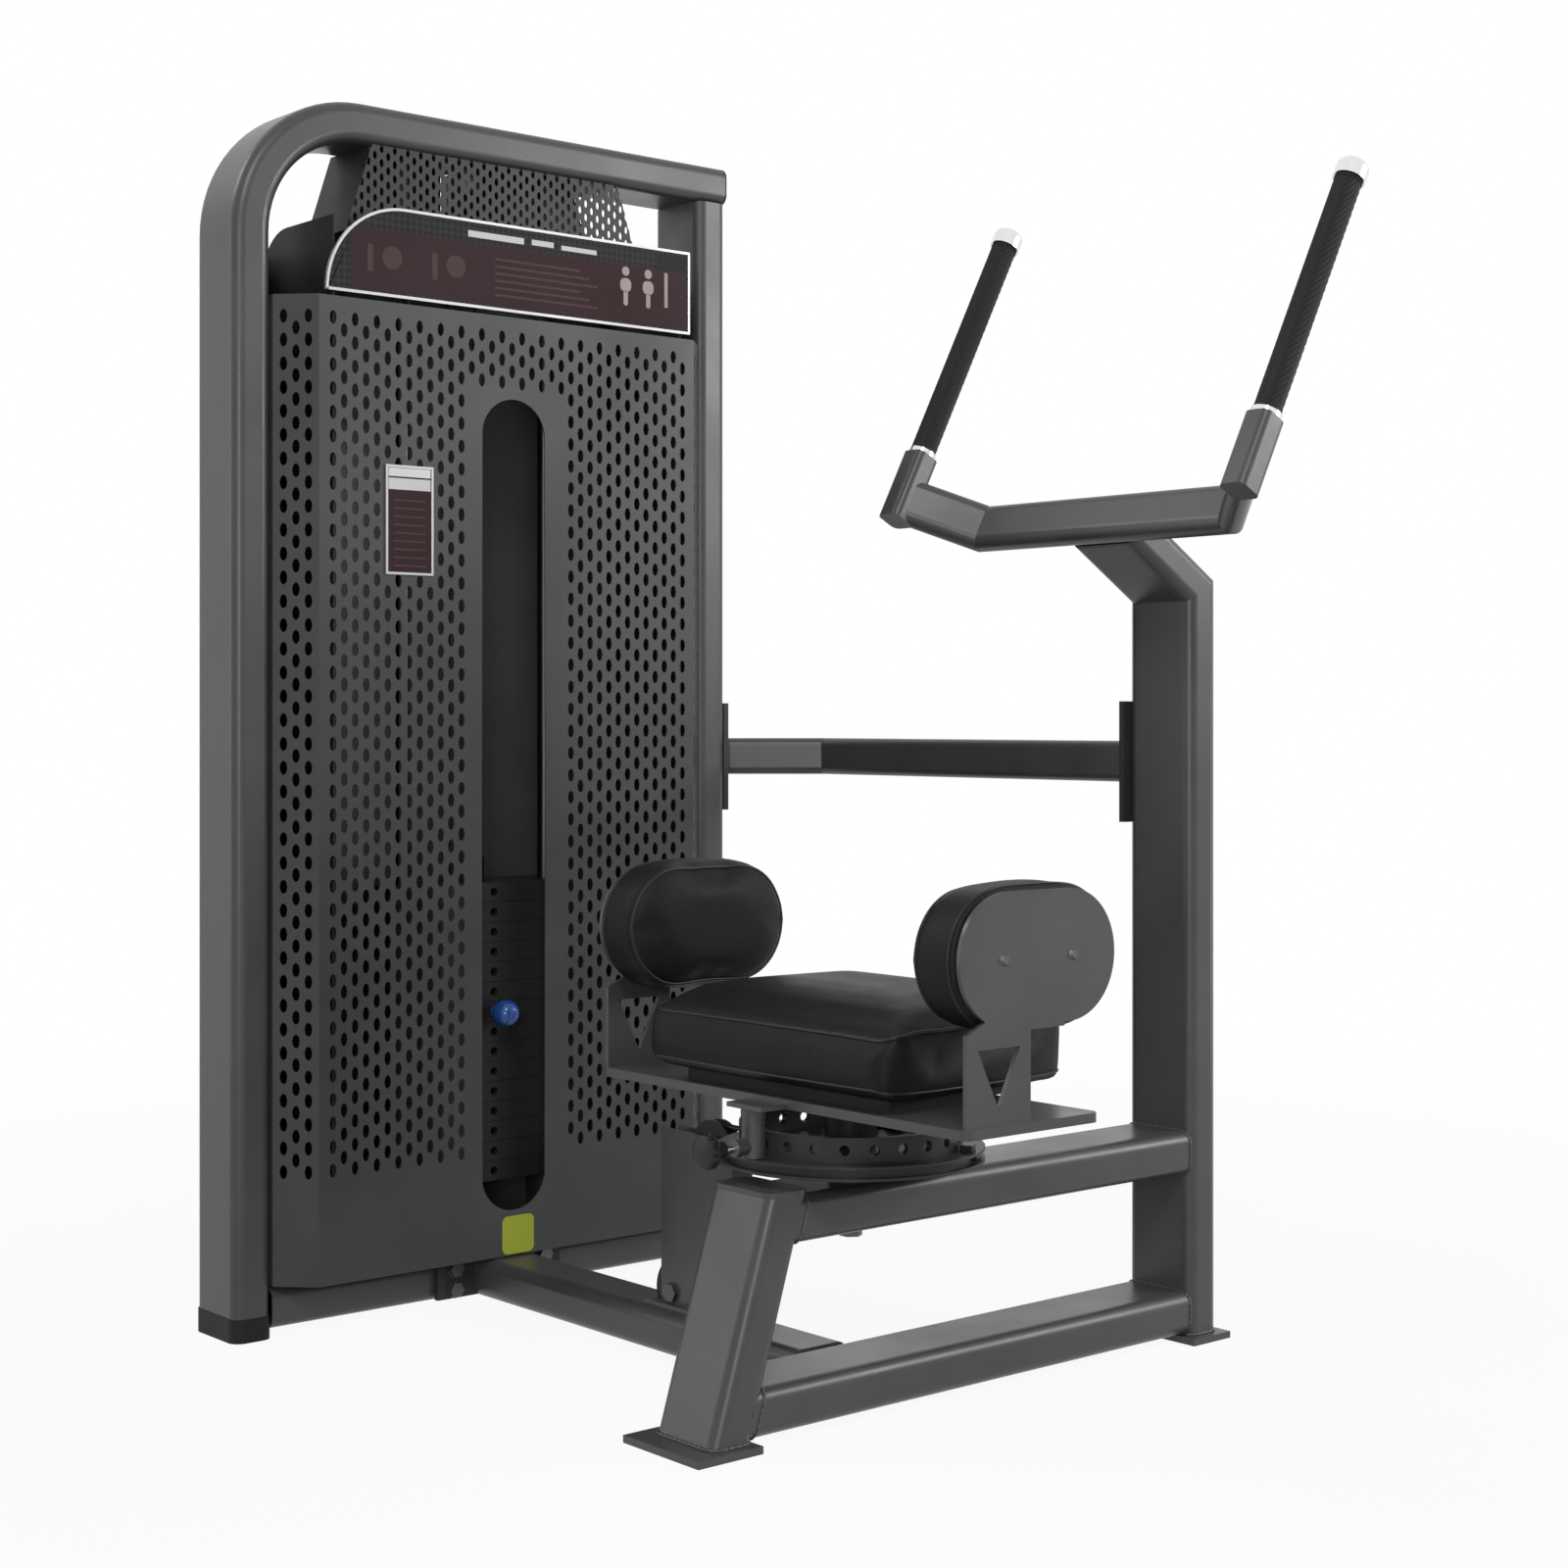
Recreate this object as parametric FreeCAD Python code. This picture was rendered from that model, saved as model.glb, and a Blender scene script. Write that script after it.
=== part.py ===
import FreeCAD, Part
import math
import os
from FreeCAD import Vector

# Rotary torso machine, in millimetres. While it is modelled, X runs along the face of the weight tower,
# Y runs back from the seat to the tower and Z is up from the floor. X = 0 is the outer side of the tower's
# left upright and Y = 0 is the tower's front face. Every piece is then moved so that the origin is on the
# floor under the middle of the whole machine.

# Driving dimensions
tower_wide = 750.0
tower_high = 1500.0
tube_slim = 50.0
tube_deep = 100.0
tube_round = 14.0
tube_wall = 3.0
arch_radius = 150.0
beam_rise = 10.0
centre_aside = 5.0
seat_line_back = 678.0
post_gap = 118.0
seat_beam_z = 201.0
sheet = 2.0
plate = 8.0
overrun = 5.0
cable_diameter = 6.0
pulley_radius = 32.5
running_gap = 0.05
soft_gap = 0.3

# Tower feet and end cap
foot_pad = 12.0
foot_sleeve_high = 28.0
foot_sleeve = 1.5
foot_clear = 0.2
end_cap_thick = 3.0

# Shrouds, liners and header panel
shroud_out = 40.0
shroud_low = 62.0
shroud_below = 250.0
shroud_lip = 24.0
liner_in = 60.0
liner_below = 152.0
liner_round = 64.0
rear_below = 180.0
slot_wide = 97.0
slot_low = 119.0
slot_below = 354.0
vent_low = 185.0
vent_below = 262.0
vent_in = 11.0
vent_slot_gap = 20.0
vent_wide = 14.0
vent_high = 65.0
vent_columns = 6
vent_rows = 12
header_below = 160.0
header_in_top = 187.0
header_in_low = 151.0
header_notch_half = 26.0

# Boards and labels
board_in = 98.0
board_below = 244.0
board_high = 110.0
board_thick = 4.0
label_aside = 189.0
label_wide = 68.0
label_below = 582.0
label_high = 134.0
sticker_aside = 18.0
sticker_low = 64.0
sticker_size = 48.0
sticker_thick = 0.8
sticker_round = 8.0

# Weight stack
plate_count = 15
pinned_plate = 8
weight_long = 300.0
weight_deep = 90.0
weight_thick = 25.0
weight_gap = 0.5
weight_edge = 3.0
stack_y = 50.0
stack_base = 150.0
rod_radius = 10.0
rod_in = 40.0
rod_clear = 0.5
buffer_radius = 25.0
stem_radius = 12.0
stem_above = 30.0
pin_radius = 5.0
pin_hole_clear = 0.3
pin_past = 12.0
knob_radius = 17.5
knob_y = -22.0
knob_neck_radius = 9.0
knob_neck = 6.0

# Pulleys and cable
pulley_flange = 38.0
pulley_wide = 16.0
axle_radius = 6.0
axle_head_radius = 10.0
axle_head = 5.0
ear_gap = 2.0
ear_thick = 5.0
ear_margin = 20.0
top_pulley_below = 105.0
cable_floor_z = 45.0
cable_back_y = 115.0
cable_way = 6.0
post_pulley_back = 228.0
roller_radius = 20.0
roller_flange = 25.0
roller_back = 173.0
disc_wrap_angle = 120.0

# Floor beam and flange
floor_beam_wide = 78.0
flange_half = 93.0
flange_low = 12.0
bolt_radius = 5.0
bolt_head_radius = 9.0
bolt_head = 6.0
washer_radius = 11.0
washer_thick = 1.5
flange_bolt_spread = 68.0
flange_bolt_rise = 13.0

# Leg, post and feet
leg_ahead_low = 228.0
leg_ahead_top = 153.0
leg_cap_thick = 6.0
foot_plate_thick = 8.0
foot_plate_margin = 12.0
front_foot_ahead = 30.0
front_foot_behind = 54.0
rear_foot_margin = 8.0
post_bend_z = 895.5
head_angle = 32.0

# Handles
handle_angle = 28.0
handle_spread = 270.0
bar_wide = 30.0
bar_tall = 60.0
bar_round = 14.0
bar_wall = 2.5
bar_ahead = 98.0
bar_z = 976.0
arm_run = 78.0
arm_across = 73.0
stub_size = 35.0
stub_round = 9.0
stub_long = 93.0
grip_ring_radius = 18.0
grip_ring = 6.0
handle_radius = 12.5
grip_radius = 16.0
grip_long = 309.0
grip_cap_radius = 19.0
grip_cap = 24.0
grip_cap_dome = 9.0

# Link between tower and post
link_low = 664.5
link_wide = 40.0
link_tall = 50.0
link_round = 10.0
link_kink = 54.0
link_tower_back = 60.0
link_flange_low = 616.0
link_flange_high = 147.0
link_flange_margin = 6.0
link_bolt_rise = 58.0
link_bolt_spread = 22.0

# Turntable: spindle, index disc, index ring and seat hub
spindle_radius = 12.5
nut_across = 22.0
nut_high = 13.0
spacer_radius = 24.0
disc_low = 271.0
disc_thick = 15.0
disc_radius = 144.0
disc_groove_gap = 1.5
ring_radius = 120.0
ring_wall = 8.0
ring_high = 26.0
ring_step_angle = 15.0
ring_hole_clear = 0.6
hub_radius = 28.0
hub_lift = 1.0
anchor_size = 14.0

# Seat carrier and seat
carrier_low = 338.0
carrier_thick = 10.0
carrier_half = 294.0
carrier_front = 72.0
carrier_back = 116.0
carrier_round = 10.0
index_pin_radius = 5.0
index_pin_free = 3.0
index_pin_travel = 14.0
index_barrel_radius = 13.0
index_tube_radius = 9.0
index_tube_long = 26.0
index_knob_radius = 18.0
index_knob_long = 26.0
index_arm_wide = 56.0
seat_board_thick = 12.0
seat_board_inset = 40.0
seat_behind = 138.0
seat_before = 160.0
seat_half_back = 204.0
seat_half_front = 182.0
seat_round_back = 34.0
seat_round_front = 28.0
seat_edge_high = 70.0
seat_crown = 30.0
seat_draw = 24.0
end_flat = 0.5
pad_long = 218.0
pad_high = 132.0
pad_plate_thick = 5.0
pad_reach = 290.0
pad_soft = 71.0
pad_overlap = 9.0
pad_behind = 12.0
pad_z = 508.0
neck_knee_z = 438.0
neck_low_behind = 100.0
neck_low_before = 12.0
neck_top_behind = 47.0
neck_top_before = 36.0
neck_window_edge = 15.0
neck_overlap = 20.0
pad_screw_spread = 97.0
pad_screw_radius = 6.0
pad_screw_head = 3.0

# Shares of a cushion's height or thickness at which its outlines lie, and of the inset there
seat_side_shares = [(0.0, 0.20), (0.25, 0.0), (0.75, 0.0), (1.0, 0.14)]
seat_crown_shares = [(0.45, 1.0), (0.8, 2.2), (1.0, 4.2)]
pad_shares = [(0.0, 0.06), (0.12, 0.0), (0.70, 0.0), (0.88, 0.07), (0.97, 0.22), (1.0, 0.42)]

# Places worked out from the values above
centre_x = tower_wide / 2 - centre_aside
post_x = tower_wide + post_gap
bar_x = post_x - bar_ahead
leg_front_low = centre_x - leg_ahead_low
leg_front_top = centre_x - leg_ahead_top
shroud_top = tower_high - shroud_below
liner_top = tower_high - liner_below
rear_top = tower_high - rear_below
slot_top = tower_high - slot_below
header_low = tower_high - header_below
board_low = tower_high - board_below
board_wide = tower_wide - 2 * board_in
label_left = centre_x - label_aside
label_low = tower_high - label_below
sticker_left = centre_x - sticker_aside
rod_spread = weight_long / 2 - rod_in
seat_y = -seat_line_back
beam_back = seat_y + tube_deep / 2
beam_front = seat_y - tube_deep / 2
beam_top = beam_rise + tube_slim
rail_low = tower_high - tube_slim
seat_beam_top = seat_beam_z + tube_slim
carrier_top = carrier_low + carrier_thick
disc_top = disc_low + disc_thick
disc_mid_z = disc_low + disc_thick / 2
cable_radius = cable_diameter / 2
groove_radius = disc_radius - cable_diameter
weight_pitch = weight_thick + weight_gap
stack_top = stack_base + plate_count * weight_pitch
pin_z = stack_base + pinned_plate * weight_pitch + weight_thick / 2
x_mid = (post_x + tube_slim + rear_foot_margin) / 2
y_mid = (seat_y - carrier_half + tube_deep + shroud_out) / 2
top_pulley_z = tower_high - top_pulley_below
top_pulley_y = cable_back_y - pulley_radius
post_pulley_y = seat_y + post_pulley_back
post_pulley_z = disc_mid_z - pulley_radius
low_pulley_y = post_pulley_y + 2 * pulley_radius
low_pulley_z = cable_floor_z + pulley_radius
roller_x = centre_x + roller_radius
roller_y = seat_y + roller_back

UP = Vector(0, 0, 1)
ALONG = Vector(1, 0, 0)
BACK = Vector(0, 1, 0)


def block(x0, x1, y0, y1, z0, z1):
    return Part.makeBox(x1 - x0, y1 - y0, z1 - z0, Vector(x0, y0, z0))


def rod(start, end, radius):
    return Part.makeCylinder(radius, (end - start).Length, start, end - start)


def rounded_wire(centre, side, up, wide, tall, corner):
    """Rectangle with round corners, centred on a point, its width along side and its height along up."""
    a = wide / 2
    b = tall / 2
    k = corner * (1 - math.sqrt(0.5))

    def at(u, v):
        return centre + side * u + up * v

    edges = []
    signs = [(1, 1), (-1, 1), (-1, -1), (1, -1)]
    for i, (su, sv) in enumerate(signs):
        first = at(su * a, sv * (b - corner))
        last = at(su * (a - corner), sv * b)
        if i % 2:
            first, last = last, first
        edges.append(Part.Arc(first, at(su * (a - k), sv * (b - k)), last).toShape())
        nu, nv = signs[(i + 1) % 4]
        following = at(nu * (a - corner), nv * b) if i % 2 == 0 else at(nu * a, nv * (b - corner))
        edges.append(Part.LineSegment(last, following).toShape())
    return Part.Wire(edges)


def bar(start, end, up, wide, tall, corner):
    """Solid bar with round corners between two points."""
    run = end - start
    side = run.cross(up).normalize()
    return Part.Face(rounded_wire(start, side, up, wide, tall, corner)).extrude(run)


def tube(start, end, up, wide, tall, corner, wall):
    """Straight hollow tube with round corners and open ends."""
    step = (end - start).normalize() * overrun
    inner = bar(start - step, end + step, up, wide - 2 * wall, tall - 2 * wall, corner - wall)
    return bar(start, end, up, wide, tall, corner).cut(inner)


def mitred_bar(points, up, wide, tall, corner):
    """Bar along a bent line, with a mitre at each bend."""
    side = (points[1] - points[0]).cross(up).normalize()
    path = Part.makePolygon(points)
    return path.makePipeShell([rounded_wire(points[0], side, up, wide, tall, corner)], True, False, 1)


def mitred_tube(points, up, wide, tall, corner, wall):
    first = (points[1] - points[0]).normalize() * overrun
    last = (points[-1] - points[-2]).normalize() * overrun
    longer = [points[0] - first] + points[1:-1] + [points[-1] + last]
    inner = mitred_bar(longer, up, wide - 2 * wall, tall - 2 * wall, corner - wall)
    return mitred_bar(points, up, wide, tall, corner).cut(inner)


def sheet_of(points, lift):
    """Prism with a flat outline."""
    return Part.Face(Part.makePolygon(points + [points[0]])).extrude(lift)


def ring(start, end, outer, inner):
    step = (end - start).normalize() * overrun
    return rod(start, end, outer).cut(rod(start - step, end + step, inner))


def hexagon(centre, axis, across, high):
    """Six-sided nut or bolt head that stands on centre."""
    turn = math.pi / 3
    radius = across / 2 / math.cos(turn / 2)
    side = axis.cross(UP if abs(axis.z) < 0.5 else ALONG).normalize()
    other = axis.cross(side)
    points = [centre + side * (radius * math.cos(i * turn)) + other * (radius * math.sin(i * turn))
              for i in range(6)]
    return sheet_of(points, axis * high)


def bolt(face, axis, grip):
    """Hex bolt with its washer: the head stands on the face and the shank runs into the piece."""
    washer = rod(face, face + axis * washer_thick, washer_radius)
    head = hexagon(face + axis * washer_thick, axis, 2 * bolt_head_radius, bolt_head)
    shank = rod(face - axis * grip, face + axis * washer_thick, bolt_radius)
    return washer.fuse([head, shank]).removeSplitter()


def group(solids):
    return Part.makeCompound(solids)


def upright_foot(x):
    """Rubber foot: a pad under the tube and a low sleeve round it."""
    middle = Vector(x, tube_deep / 2, 0)
    grow = 2 * foot_sleeve
    outer = bar(middle, middle + UP * foot_sleeve_high, BACK, tube_slim + grow, tube_deep + grow,
                tube_round + foot_sleeve)
    gap = 2 * foot_clear
    hollow = bar(middle + UP * foot_pad, middle + UP * (foot_sleeve_high + overrun), BACK,
                 tube_slim + gap, tube_deep + gap, tube_round + foot_clear)
    beam_room = block(tube_slim, tower_wide - tube_slim, 0, tube_deep, beam_rise,
                      foot_sleeve_high + overrun)
    return outer.cut([hollow, beam_room])


def tower_arch():
    """Left upright, bend and top rail, bent from one tube."""
    def solid(slim, deep, corner, past):
        foot = Vector(tube_slim / 2, tube_deep / 2, foot_pad - past)
        spring = Vector(tube_slim / 2, tube_deep / 2, tower_high - tube_slim / 2 - arch_radius)
        upright = bar(foot, spring, BACK, slim, deep, corner)
        section = Part.Face(rounded_wire(spring, ALONG, BACK, slim, deep, corner))
        hinge = spring + ALONG * arch_radius
        bend = section.revolve(hinge, BACK, 90)
        rail_start = hinge + UP * arch_radius
        rail_end = Vector(tower_wide - end_cap_thick + past, tube_deep / 2, rail_start.z)
        rail = bar(rail_start, rail_end, BACK, slim, deep, corner)
        return upright.fuse([bend, rail]).removeSplitter()
    thin = 2 * tube_wall
    return solid(tube_slim, tube_deep, tube_round, 0).cut(
        solid(tube_slim - thin, tube_deep - thin, tube_round - tube_wall, overrun))


def right_upright():
    middle = Vector(tower_wide - tube_slim / 2, tube_deep / 2, foot_pad)
    top = Vector(middle.x, middle.y, rail_low)
    return tube(middle, top, BACK, tube_slim, tube_deep, tube_round, tube_wall)


def rail_end_cap():
    face = Vector(tower_wide - end_cap_thick, tube_deep / 2, tower_high - tube_slim / 2)
    cap = bar(face, face + ALONG * end_cap_thick, BACK, tube_slim, tube_deep, tube_round)
    thin = 2 * tube_wall + 2 * foot_clear
    plug = bar(face - ALONG * tube_slim / 2, face, BACK, tube_slim - thin, tube_deep - thin,
               tube_round - tube_wall)
    return cap.fuse(plug).removeSplitter()


def base_beam():
    """Low cross beam of the tower, slotted for the bottom pulley and bored for the cable."""
    start = Vector(tube_slim, tube_deep / 2, beam_rise + tube_slim / 2)
    end = Vector(tower_wide - tube_slim, start.y, start.z)
    beam = tube(start, end, UP, tube_deep, tube_slim, tube_round, tube_wall)
    half = pulley_wide / 2 + ear_gap
    pulley_y = cable_back_y - pulley_radius
    slot = block(centre_x - half, centre_x + half, pulley_y - pulley_flange - ear_gap, tube_deep + overrun,
                 beam_rise + tube_wall, beam_top + overrun)
    way = rod(Vector(centre_x, -overrun, cable_floor_z),
              Vector(centre_x, tube_deep / 2, cable_floor_z), cable_way)
    return beam.cut([slot, way])


def shroud_profile(sign):
    """Outline of a bent cover sheet from above: lips along the uprights, slanted cheeks and a flat face."""
    near = 0 if sign < 0 else tube_deep
    left = tube_slim
    right = tower_wide - tube_slim
    skew = sheet * math.tan(math.pi / 8)
    face = near + sign * shroud_out
    lip = near - sign * shroud_lip
    outer = [(left, lip), (left, near), (left + shroud_out, face), (right - shroud_out, face),
             (right, near), (right, lip)]
    inner = [(right - sheet, lip), (right - sheet, near - sign * skew),
             (right - shroud_out - skew, face - sign * sheet),
             (left + shroud_out + skew, face - sign * sheet),
             (left + sheet, near - sign * skew), (left + sheet, lip)]
    return outer + inner


def shroud(sign, top):
    points = [Vector(x, y, shroud_low) for x, y in shroud_profile(sign)]
    return sheet_of(points, UP * (top - shroud_low))


def vents(x0, x1, y0, y1):
    """Grid of upright openings in one half of the front cover's face."""
    z0 = vent_low
    column = (x1 - x0) / vent_columns
    row = (tower_high - vent_below - z0) / vent_rows
    made = []
    for i in range(vent_columns):
        for j in range(vent_rows):
            x = x0 + (2 * i + 1) * column / 2
            z = z0 + (2 * j + 1) * row / 2
            made.append(block(x - vent_wide / 2, x + vent_wide / 2, y0, y1, z - vent_high / 2,
                              z + vent_high / 2))
    return made


def front_shroud():
    """Front cover with its openings and the tall round-ended slot for the selector pin."""
    radius = slot_wide / 2
    y0 = -shroud_out - overrun
    y1 = -shroud_out + sheet + overrun
    low = Vector(centre_x, y0, slot_low + radius)
    top = Vector(centre_x, y0, slot_top - radius)
    across = BACK * (y1 - y0)
    slot = rod(low, low + across, radius).fuse([
        rod(top, top + across, radius), block(centre_x - radius, centre_x + radius, y0, y1, low.z, top.z)])
    face_left = tube_slim + shroud_out + vent_in
    face_right = tower_wide - face_left
    cuts = vents(face_left, centre_x - radius - vent_slot_gap, y0, y1)
    cuts += vents(centre_x + radius + vent_slot_gap, face_right, y0, y1)
    return shroud(-1, shroud_top).cut([slot] + cuts)


def liner(x):
    """Dark side panel inside the tower, from the front cover to the rear cover."""
    inside = shroud_out - sheet
    body = block(x, x + sheet, -inside, tube_deep + inside, shroud_low, liner_top)
    corner = [e for e in body.Edges if abs(e.BoundBox.ZMin - liner_top) < sheet
              and e.BoundBox.YMin > tube_deep]
    return body.makeFillet(liner_round, [e for e in corner if e.BoundBox.XLength > e.BoundBox.YLength])


def board_outline(left, wide, low, high, y):
    """Board with one round corner as large as it is high."""
    corner = Vector(left + high, y, low)
    mid = Vector(corner.x - high * math.sqrt(0.5), y, low + high * math.sqrt(0.5))
    top = Vector(corner.x, y, low + high)
    edges = [
        Part.Arc(Vector(left, y, low), mid, top).toShape(),
        Part.LineSegment(top, Vector(left + wide, y, low + high)).toShape(),
        Part.LineSegment(Vector(left + wide, y, low + high), Vector(left + wide, y, low)).toShape(),
        Part.LineSegment(Vector(left + wide, y, low), Vector(left, y, low)).toShape()]
    return Part.Face(Part.Wire(edges))


def instruction_board():
    back = -shroud_out + sheet
    return board_outline(board_in, board_wide, board_low, board_high, back).extrude(BACK * -board_thick)


def label_plate():
    return block(label_left, label_left + label_wide, -shroud_out - sheet, -shroud_out, label_low,
                 label_low + label_high)


def base_sticker():
    half = sticker_size / 2
    middle = Vector(sticker_left + half, -shroud_out, sticker_low + half)
    return bar(middle, middle - BACK * sticker_thick, UP, sticker_size, sticker_size, sticker_round)


def header_outline(y, grow, beyond):
    """Outline of the header box at one depth: wider below, its right end moved out by beyond."""
    middle = tower_wide / 2
    half_low = middle - header_in_low - grow
    half_top = middle - header_in_top - grow
    low = header_low - beyond
    corners = [(middle - half_low, low), (middle + half_low + beyond, low),
               (middle + half_top + beyond, rail_low - grow),
               (middle - half_top, rail_low - grow)]
    return [Vector(x, y, z) for x, z in corners]


def header_panel():
    """Bent sheet box under the top rail, open below and on its right, notched behind for the pulley."""
    body = sheet_of(header_outline(0, 0, 0), BACK * tube_deep)
    room = sheet_of(header_outline(sheet, sheet, overrun), BACK * (tube_deep - 2 * sheet))
    notch = block(centre_x - header_notch_half, centre_x + header_notch_half,
                  top_pulley_y - pulley_flange - ear_gap, tube_deep + overrun, header_low - overrun,
                  rail_low + overrun)
    return body.cut([room, notch])


def at_rods(make):
    return group([make(Vector(centre_x + side * rod_spread, stack_y, 0)) for side in (-1, 1)])


def guide_rod(foot):
    return rod(foot + UP * beam_top, foot + UP * (rail_low - sheet), rod_radius)


def stack_buffer(foot):
    """Rubber buffer that the plates rest on."""
    return ring(foot + UP * beam_top, foot + UP * stack_base, buffer_radius, rod_radius + running_gap)


def weight_plate(index):
    """One plate of the stack, with its two rod holes, the stem hole and the hole for the selector pin."""
    low = stack_base + index * weight_pitch
    slab = block(centre_x - weight_long / 2, centre_x + weight_long / 2, stack_y - weight_deep / 2,
                 stack_y + weight_deep / 2, low, low + weight_thick)
    slab = slab.makeChamfer(weight_edge, [e for e in slab.Edges
                                          if abs(e.tangentAt(e.FirstParameter).z) > 0.9])
    holes = [rod(Vector(centre_x + s * rod_spread, stack_y, low - overrun),
                 Vector(centre_x + s * rod_spread, stack_y, low + weight_thick + overrun),
                 rod_radius + rod_clear)
             for s in (-1, 1)]
    axis = Vector(centre_x, stack_y, low - overrun)
    holes.append(rod(axis, axis + UP * (weight_thick + 2 * overrun), stem_radius + rod_clear))
    middle = low + weight_thick / 2
    holes.append(rod(Vector(centre_x, stack_y - weight_deep, middle),
                     Vector(centre_x, stack_y + stem_radius + pin_past, middle),
                     pin_radius + pin_hole_clear))
    return slab.cut(holes)


def selector_stem():
    """Rod down the middle of the stack, cross-drilled once for each plate."""
    foot = Vector(centre_x, stack_y, stack_base + weight_gap)
    stem = rod(foot, Vector(centre_x, stack_y, stack_top + stem_above), stem_radius)
    holes = []
    for index in range(plate_count):
        z = stack_base + index * weight_pitch + weight_thick / 2
        holes.append(rod(Vector(centre_x, stack_y - 2 * stem_radius, z),
                         Vector(centre_x, stack_y + 2 * stem_radius, z),
                         pin_radius + pin_hole_clear))
    return stem.cut(holes)


def selector_pin():
    return rod(Vector(centre_x, knob_y, pin_z), Vector(centre_x, stack_y + stem_radius, pin_z), pin_radius)


def selector_knob():
    """Round knob with a short neck, pressed on the pin."""
    middle = Vector(centre_x, knob_y, pin_z)
    neck = rod(middle, middle + BACK * (knob_radius + knob_neck), knob_neck_radius)
    hole = rod(middle, middle + BACK * (2 * knob_radius), pin_radius)
    return Part.makeSphere(knob_radius, middle).fuse(neck).removeSplitter().cut(hole)


def wheel(centre, axis, cable_line, flange, wide, bore):
    """Grooved wheel: the cable's middle runs at the radius cable_line."""
    start = centre - axis * (wide / 2)
    body = rod(start, start + axis * wide, flange)
    way = cable_diameter + 2 * disc_groove_gap
    low = centre - axis * (way / 2)
    groove = rod(low, low + axis * way, flange + overrun).cut(
        rod(low, low + axis * way, cable_line - cable_radius - soft_gap))
    hole = rod(start - axis * overrun, start + axis * (wide + overrun), bore)
    return body.cut([groove, hole])


def pulley(y, z):
    return wheel(Vector(centre_x, y, z), ALONG, pulley_radius, pulley_flange, pulley_wide,
                 axle_radius + running_gap)


def ear_reach():
    return pulley_wide / 2 + ear_gap + ear_thick


def axle(y, z):
    """Axle bolt of a pulley, through both ears, with a head at each side."""
    reach = ear_reach()
    left = Vector(centre_x - reach, y, z)
    right = Vector(centre_x + reach, y, z)
    heads = [hexagon(left, -ALONG, 2 * axle_head_radius, axle_head),
             hexagon(right, ALONG, 2 * axle_head_radius, axle_head)]
    return rod(left, right, axle_radius).fuse(heads).removeSplitter()


def ears(y0, y1, z0, z1, holes):
    """Pair of upright plates with axle holes, one each side of a pulley."""
    inner = pulley_wide / 2 + ear_gap
    pair = []
    for side in (-1, 1):
        x = sorted((centre_x + side * inner, centre_x + side * (inner + ear_thick)))
        cheek = block(x[0], x[1], y0, y1, z0, z1)
        for y, z in holes:
            cheek = cheek.cut(rod(Vector(x[0] - overrun, y, z), Vector(x[1] + overrun, y, z), axle_radius))
        pair.append(cheek)
    return pair


def top_pulley_ears():
    return ears(top_pulley_y - ear_margin, tube_deep, top_pulley_z - ear_margin, rail_low,
                [(top_pulley_y, top_pulley_z)])


def base_pulley_ears():
    return ears(top_pulley_y - ear_margin, tube_deep, beam_top, low_pulley_z + ear_margin,
                [(top_pulley_y, low_pulley_z)])


def pulley_post():
    """Post on the floor beam that carries two pulleys and, on its top plate, the guide roller."""
    front = post_pulley_y - pulley_flange - ear_gap
    back = low_pulley_y + ear_margin
    inner = pulley_wide / 2 + ear_gap
    cheeks = ears(front, back, beam_top, post_pulley_z + ear_margin,
                  [(post_pulley_y, post_pulley_z), (low_pulley_y, low_pulley_z)])
    foot_y = low_pulley_y + pulley_flange
    feet = []
    for side in (-1, 1):
        x = sorted((centre_x + side * inner, centre_x + side * floor_beam_wide / 2 - side * tube_round))
        feet.append(block(x[0], x[1], front - ear_margin, foot_y, beam_top, beam_top + ear_thick))
    tray = block(centre_x - ear_reach(), roller_x + roller_flange, roller_y - roller_flange, front,
                 post_pulley_z - ear_thick, post_pulley_z)
    tray = tray.cut(rod(Vector(roller_x, roller_y, post_pulley_z - 2 * ear_thick),
                        Vector(roller_x, roller_y, post_pulley_z + ear_thick), axle_radius))
    bridge = block(centre_x - ear_reach(), centre_x + ear_reach(), front - ear_thick, front, beam_top,
                   post_pulley_z)
    return cheeks[0].fuse(cheeks[1:] + feet + [tray, bridge]).removeSplitter()


def guide_roller():
    centre = Vector(roller_x, roller_y, disc_mid_z)
    return wheel(centre, UP, roller_radius, roller_flange, pulley_wide, axle_radius + running_gap)


def roller_bolt():
    """Upright bolt of the guide roller, with the spacer under it and the nut under the tray."""
    centre = Vector(roller_x, roller_y, 0)
    low = disc_mid_z - pulley_wide / 2
    high = disc_mid_z + pulley_wide / 2
    shank = rod(centre + UP * (post_pulley_z - ear_thick), centre + UP * (high + soft_gap), axle_radius)
    spacer = rod(centre + UP * post_pulley_z, centre + UP * (low - soft_gap), axle_head_radius)
    head = hexagon(centre + UP * (high + soft_gap), UP, 2 * axle_head_radius, axle_head)
    nut = hexagon(centre + UP * (post_pulley_z - ear_thick), -UP, 2 * axle_head_radius, axle_head)
    return shank.fuse([spacer, head, nut]).removeSplitter()


def cable_arc(centre, axis, start, angle):
    """Piece of cable bent round a pulley."""
    heading = axis.cross(start - centre)
    section = Part.Face(Part.Wire(Part.makeCircle(cable_radius, start, heading)))
    return section.revolve(centre, axis, angle)


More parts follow.
